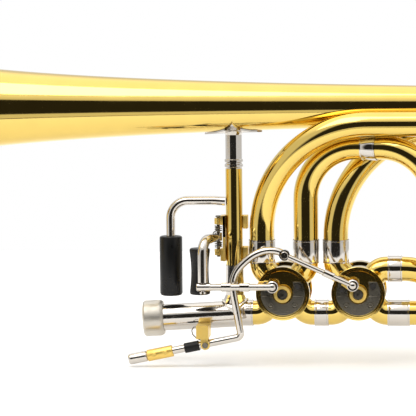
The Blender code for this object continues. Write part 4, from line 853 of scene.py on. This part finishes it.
white.inputs["Color"].default_value = (1, 1, 1, 1)
rays = nodes.new("ShaderNodeLightPath")
mix = nodes.new("ShaderNodeMixShader")
link(rays.outputs["Is Camera Ray"], mix.inputs["Fac"])
link(tent.outputs["Background"], mix.inputs[1])
link(white.outputs["Background"], mix.inputs[2])
out = nodes.new("ShaderNodeOutputWorld")
link(mix.outputs["Shader"], out.inputs["Surface"])

sheet = bpy.data.meshes.new("paper")
corners = [(FLOOR_X[0], FLOOR_Y[0], FLOOR_Z), (FLOOR_X[1], FLOOR_Y[0], FLOOR_Z)]
corners += [(FLOOR_X[1], FLOOR_Y[1], FLOOR_Z), (FLOOR_X[0], FLOOR_Y[1], FLOOR_Z)]
sheet.from_pydata([Vector(corner) * MM for corner in corners], [], [(0, 1, 2, 3)])
floor = bpy.data.objects.new("paper", sheet)
bpy.context.scene.collection.objects.link(floor)
paper = bpy.data.materials.new("paper")
paper.use_nodes = True
shader = paper.node_tree.nodes["Principled BSDF"]
shader.inputs["Base Color"].default_value = PAPER_GREY
shader.inputs["Roughness"].default_value = 1.0
shader.inputs["Specular IOR Level"].default_value = 0.0
shader.inputs["Emission Color"].default_value = (1, 1, 1, 1)
shader.inputs["Emission Strength"].default_value = PAPER_GLOW
sheet.materials.append(paper)

lamp = bpy.data.lights.new("overhead", "AREA")
lamp.size = LAMP_SIZE
lamp.energy = LAMP_POWER
overhead = bpy.data.objects.new("overhead", lamp)
overhead.location = LAMP_AT
overhead.rotation_euler = (Vector(LAMP_TARGET) - overhead.location).to_track_quat("-Z", "Y").to_euler()
bpy.context.scene.collection.objects.link(overhead)

# %% [markdown]
# ## Camera
# A long lens two metres away, five degrees toward the slides and slightly above, as in the photo.

# %%
AZIMUTH = math.radians(5.0)
ELEVATION = math.radians(5.5)
ROLL = math.radians(-0.6)
DISTANCE = 2.0
LENS = 247.0
SENSOR = 36.0
target = Vector((0.0458, 0, 0.0781))
flat = math.cos(ELEVATION)
back = Vector((math.sin(AZIMUTH) * flat, -math.cos(AZIMUTH) * flat, math.sin(ELEVATION)))
lens = bpy.data.cameras.new("camera")
lens.lens = LENS
lens.sensor_width = SENSOR
camera = bpy.data.objects.new("camera", lens)
camera.location = target + back * DISTANCE
camera.rotation_mode = "QUATERNION"
camera.rotation_quaternion = (-back).to_track_quat("-Z", "Y") @ Quaternion(UP, ROLL)
bpy.context.scene.collection.objects.link(camera)
bpy.context.scene.camera = camera
bpy.context.scene.view_settings.view_transform = "Standard"
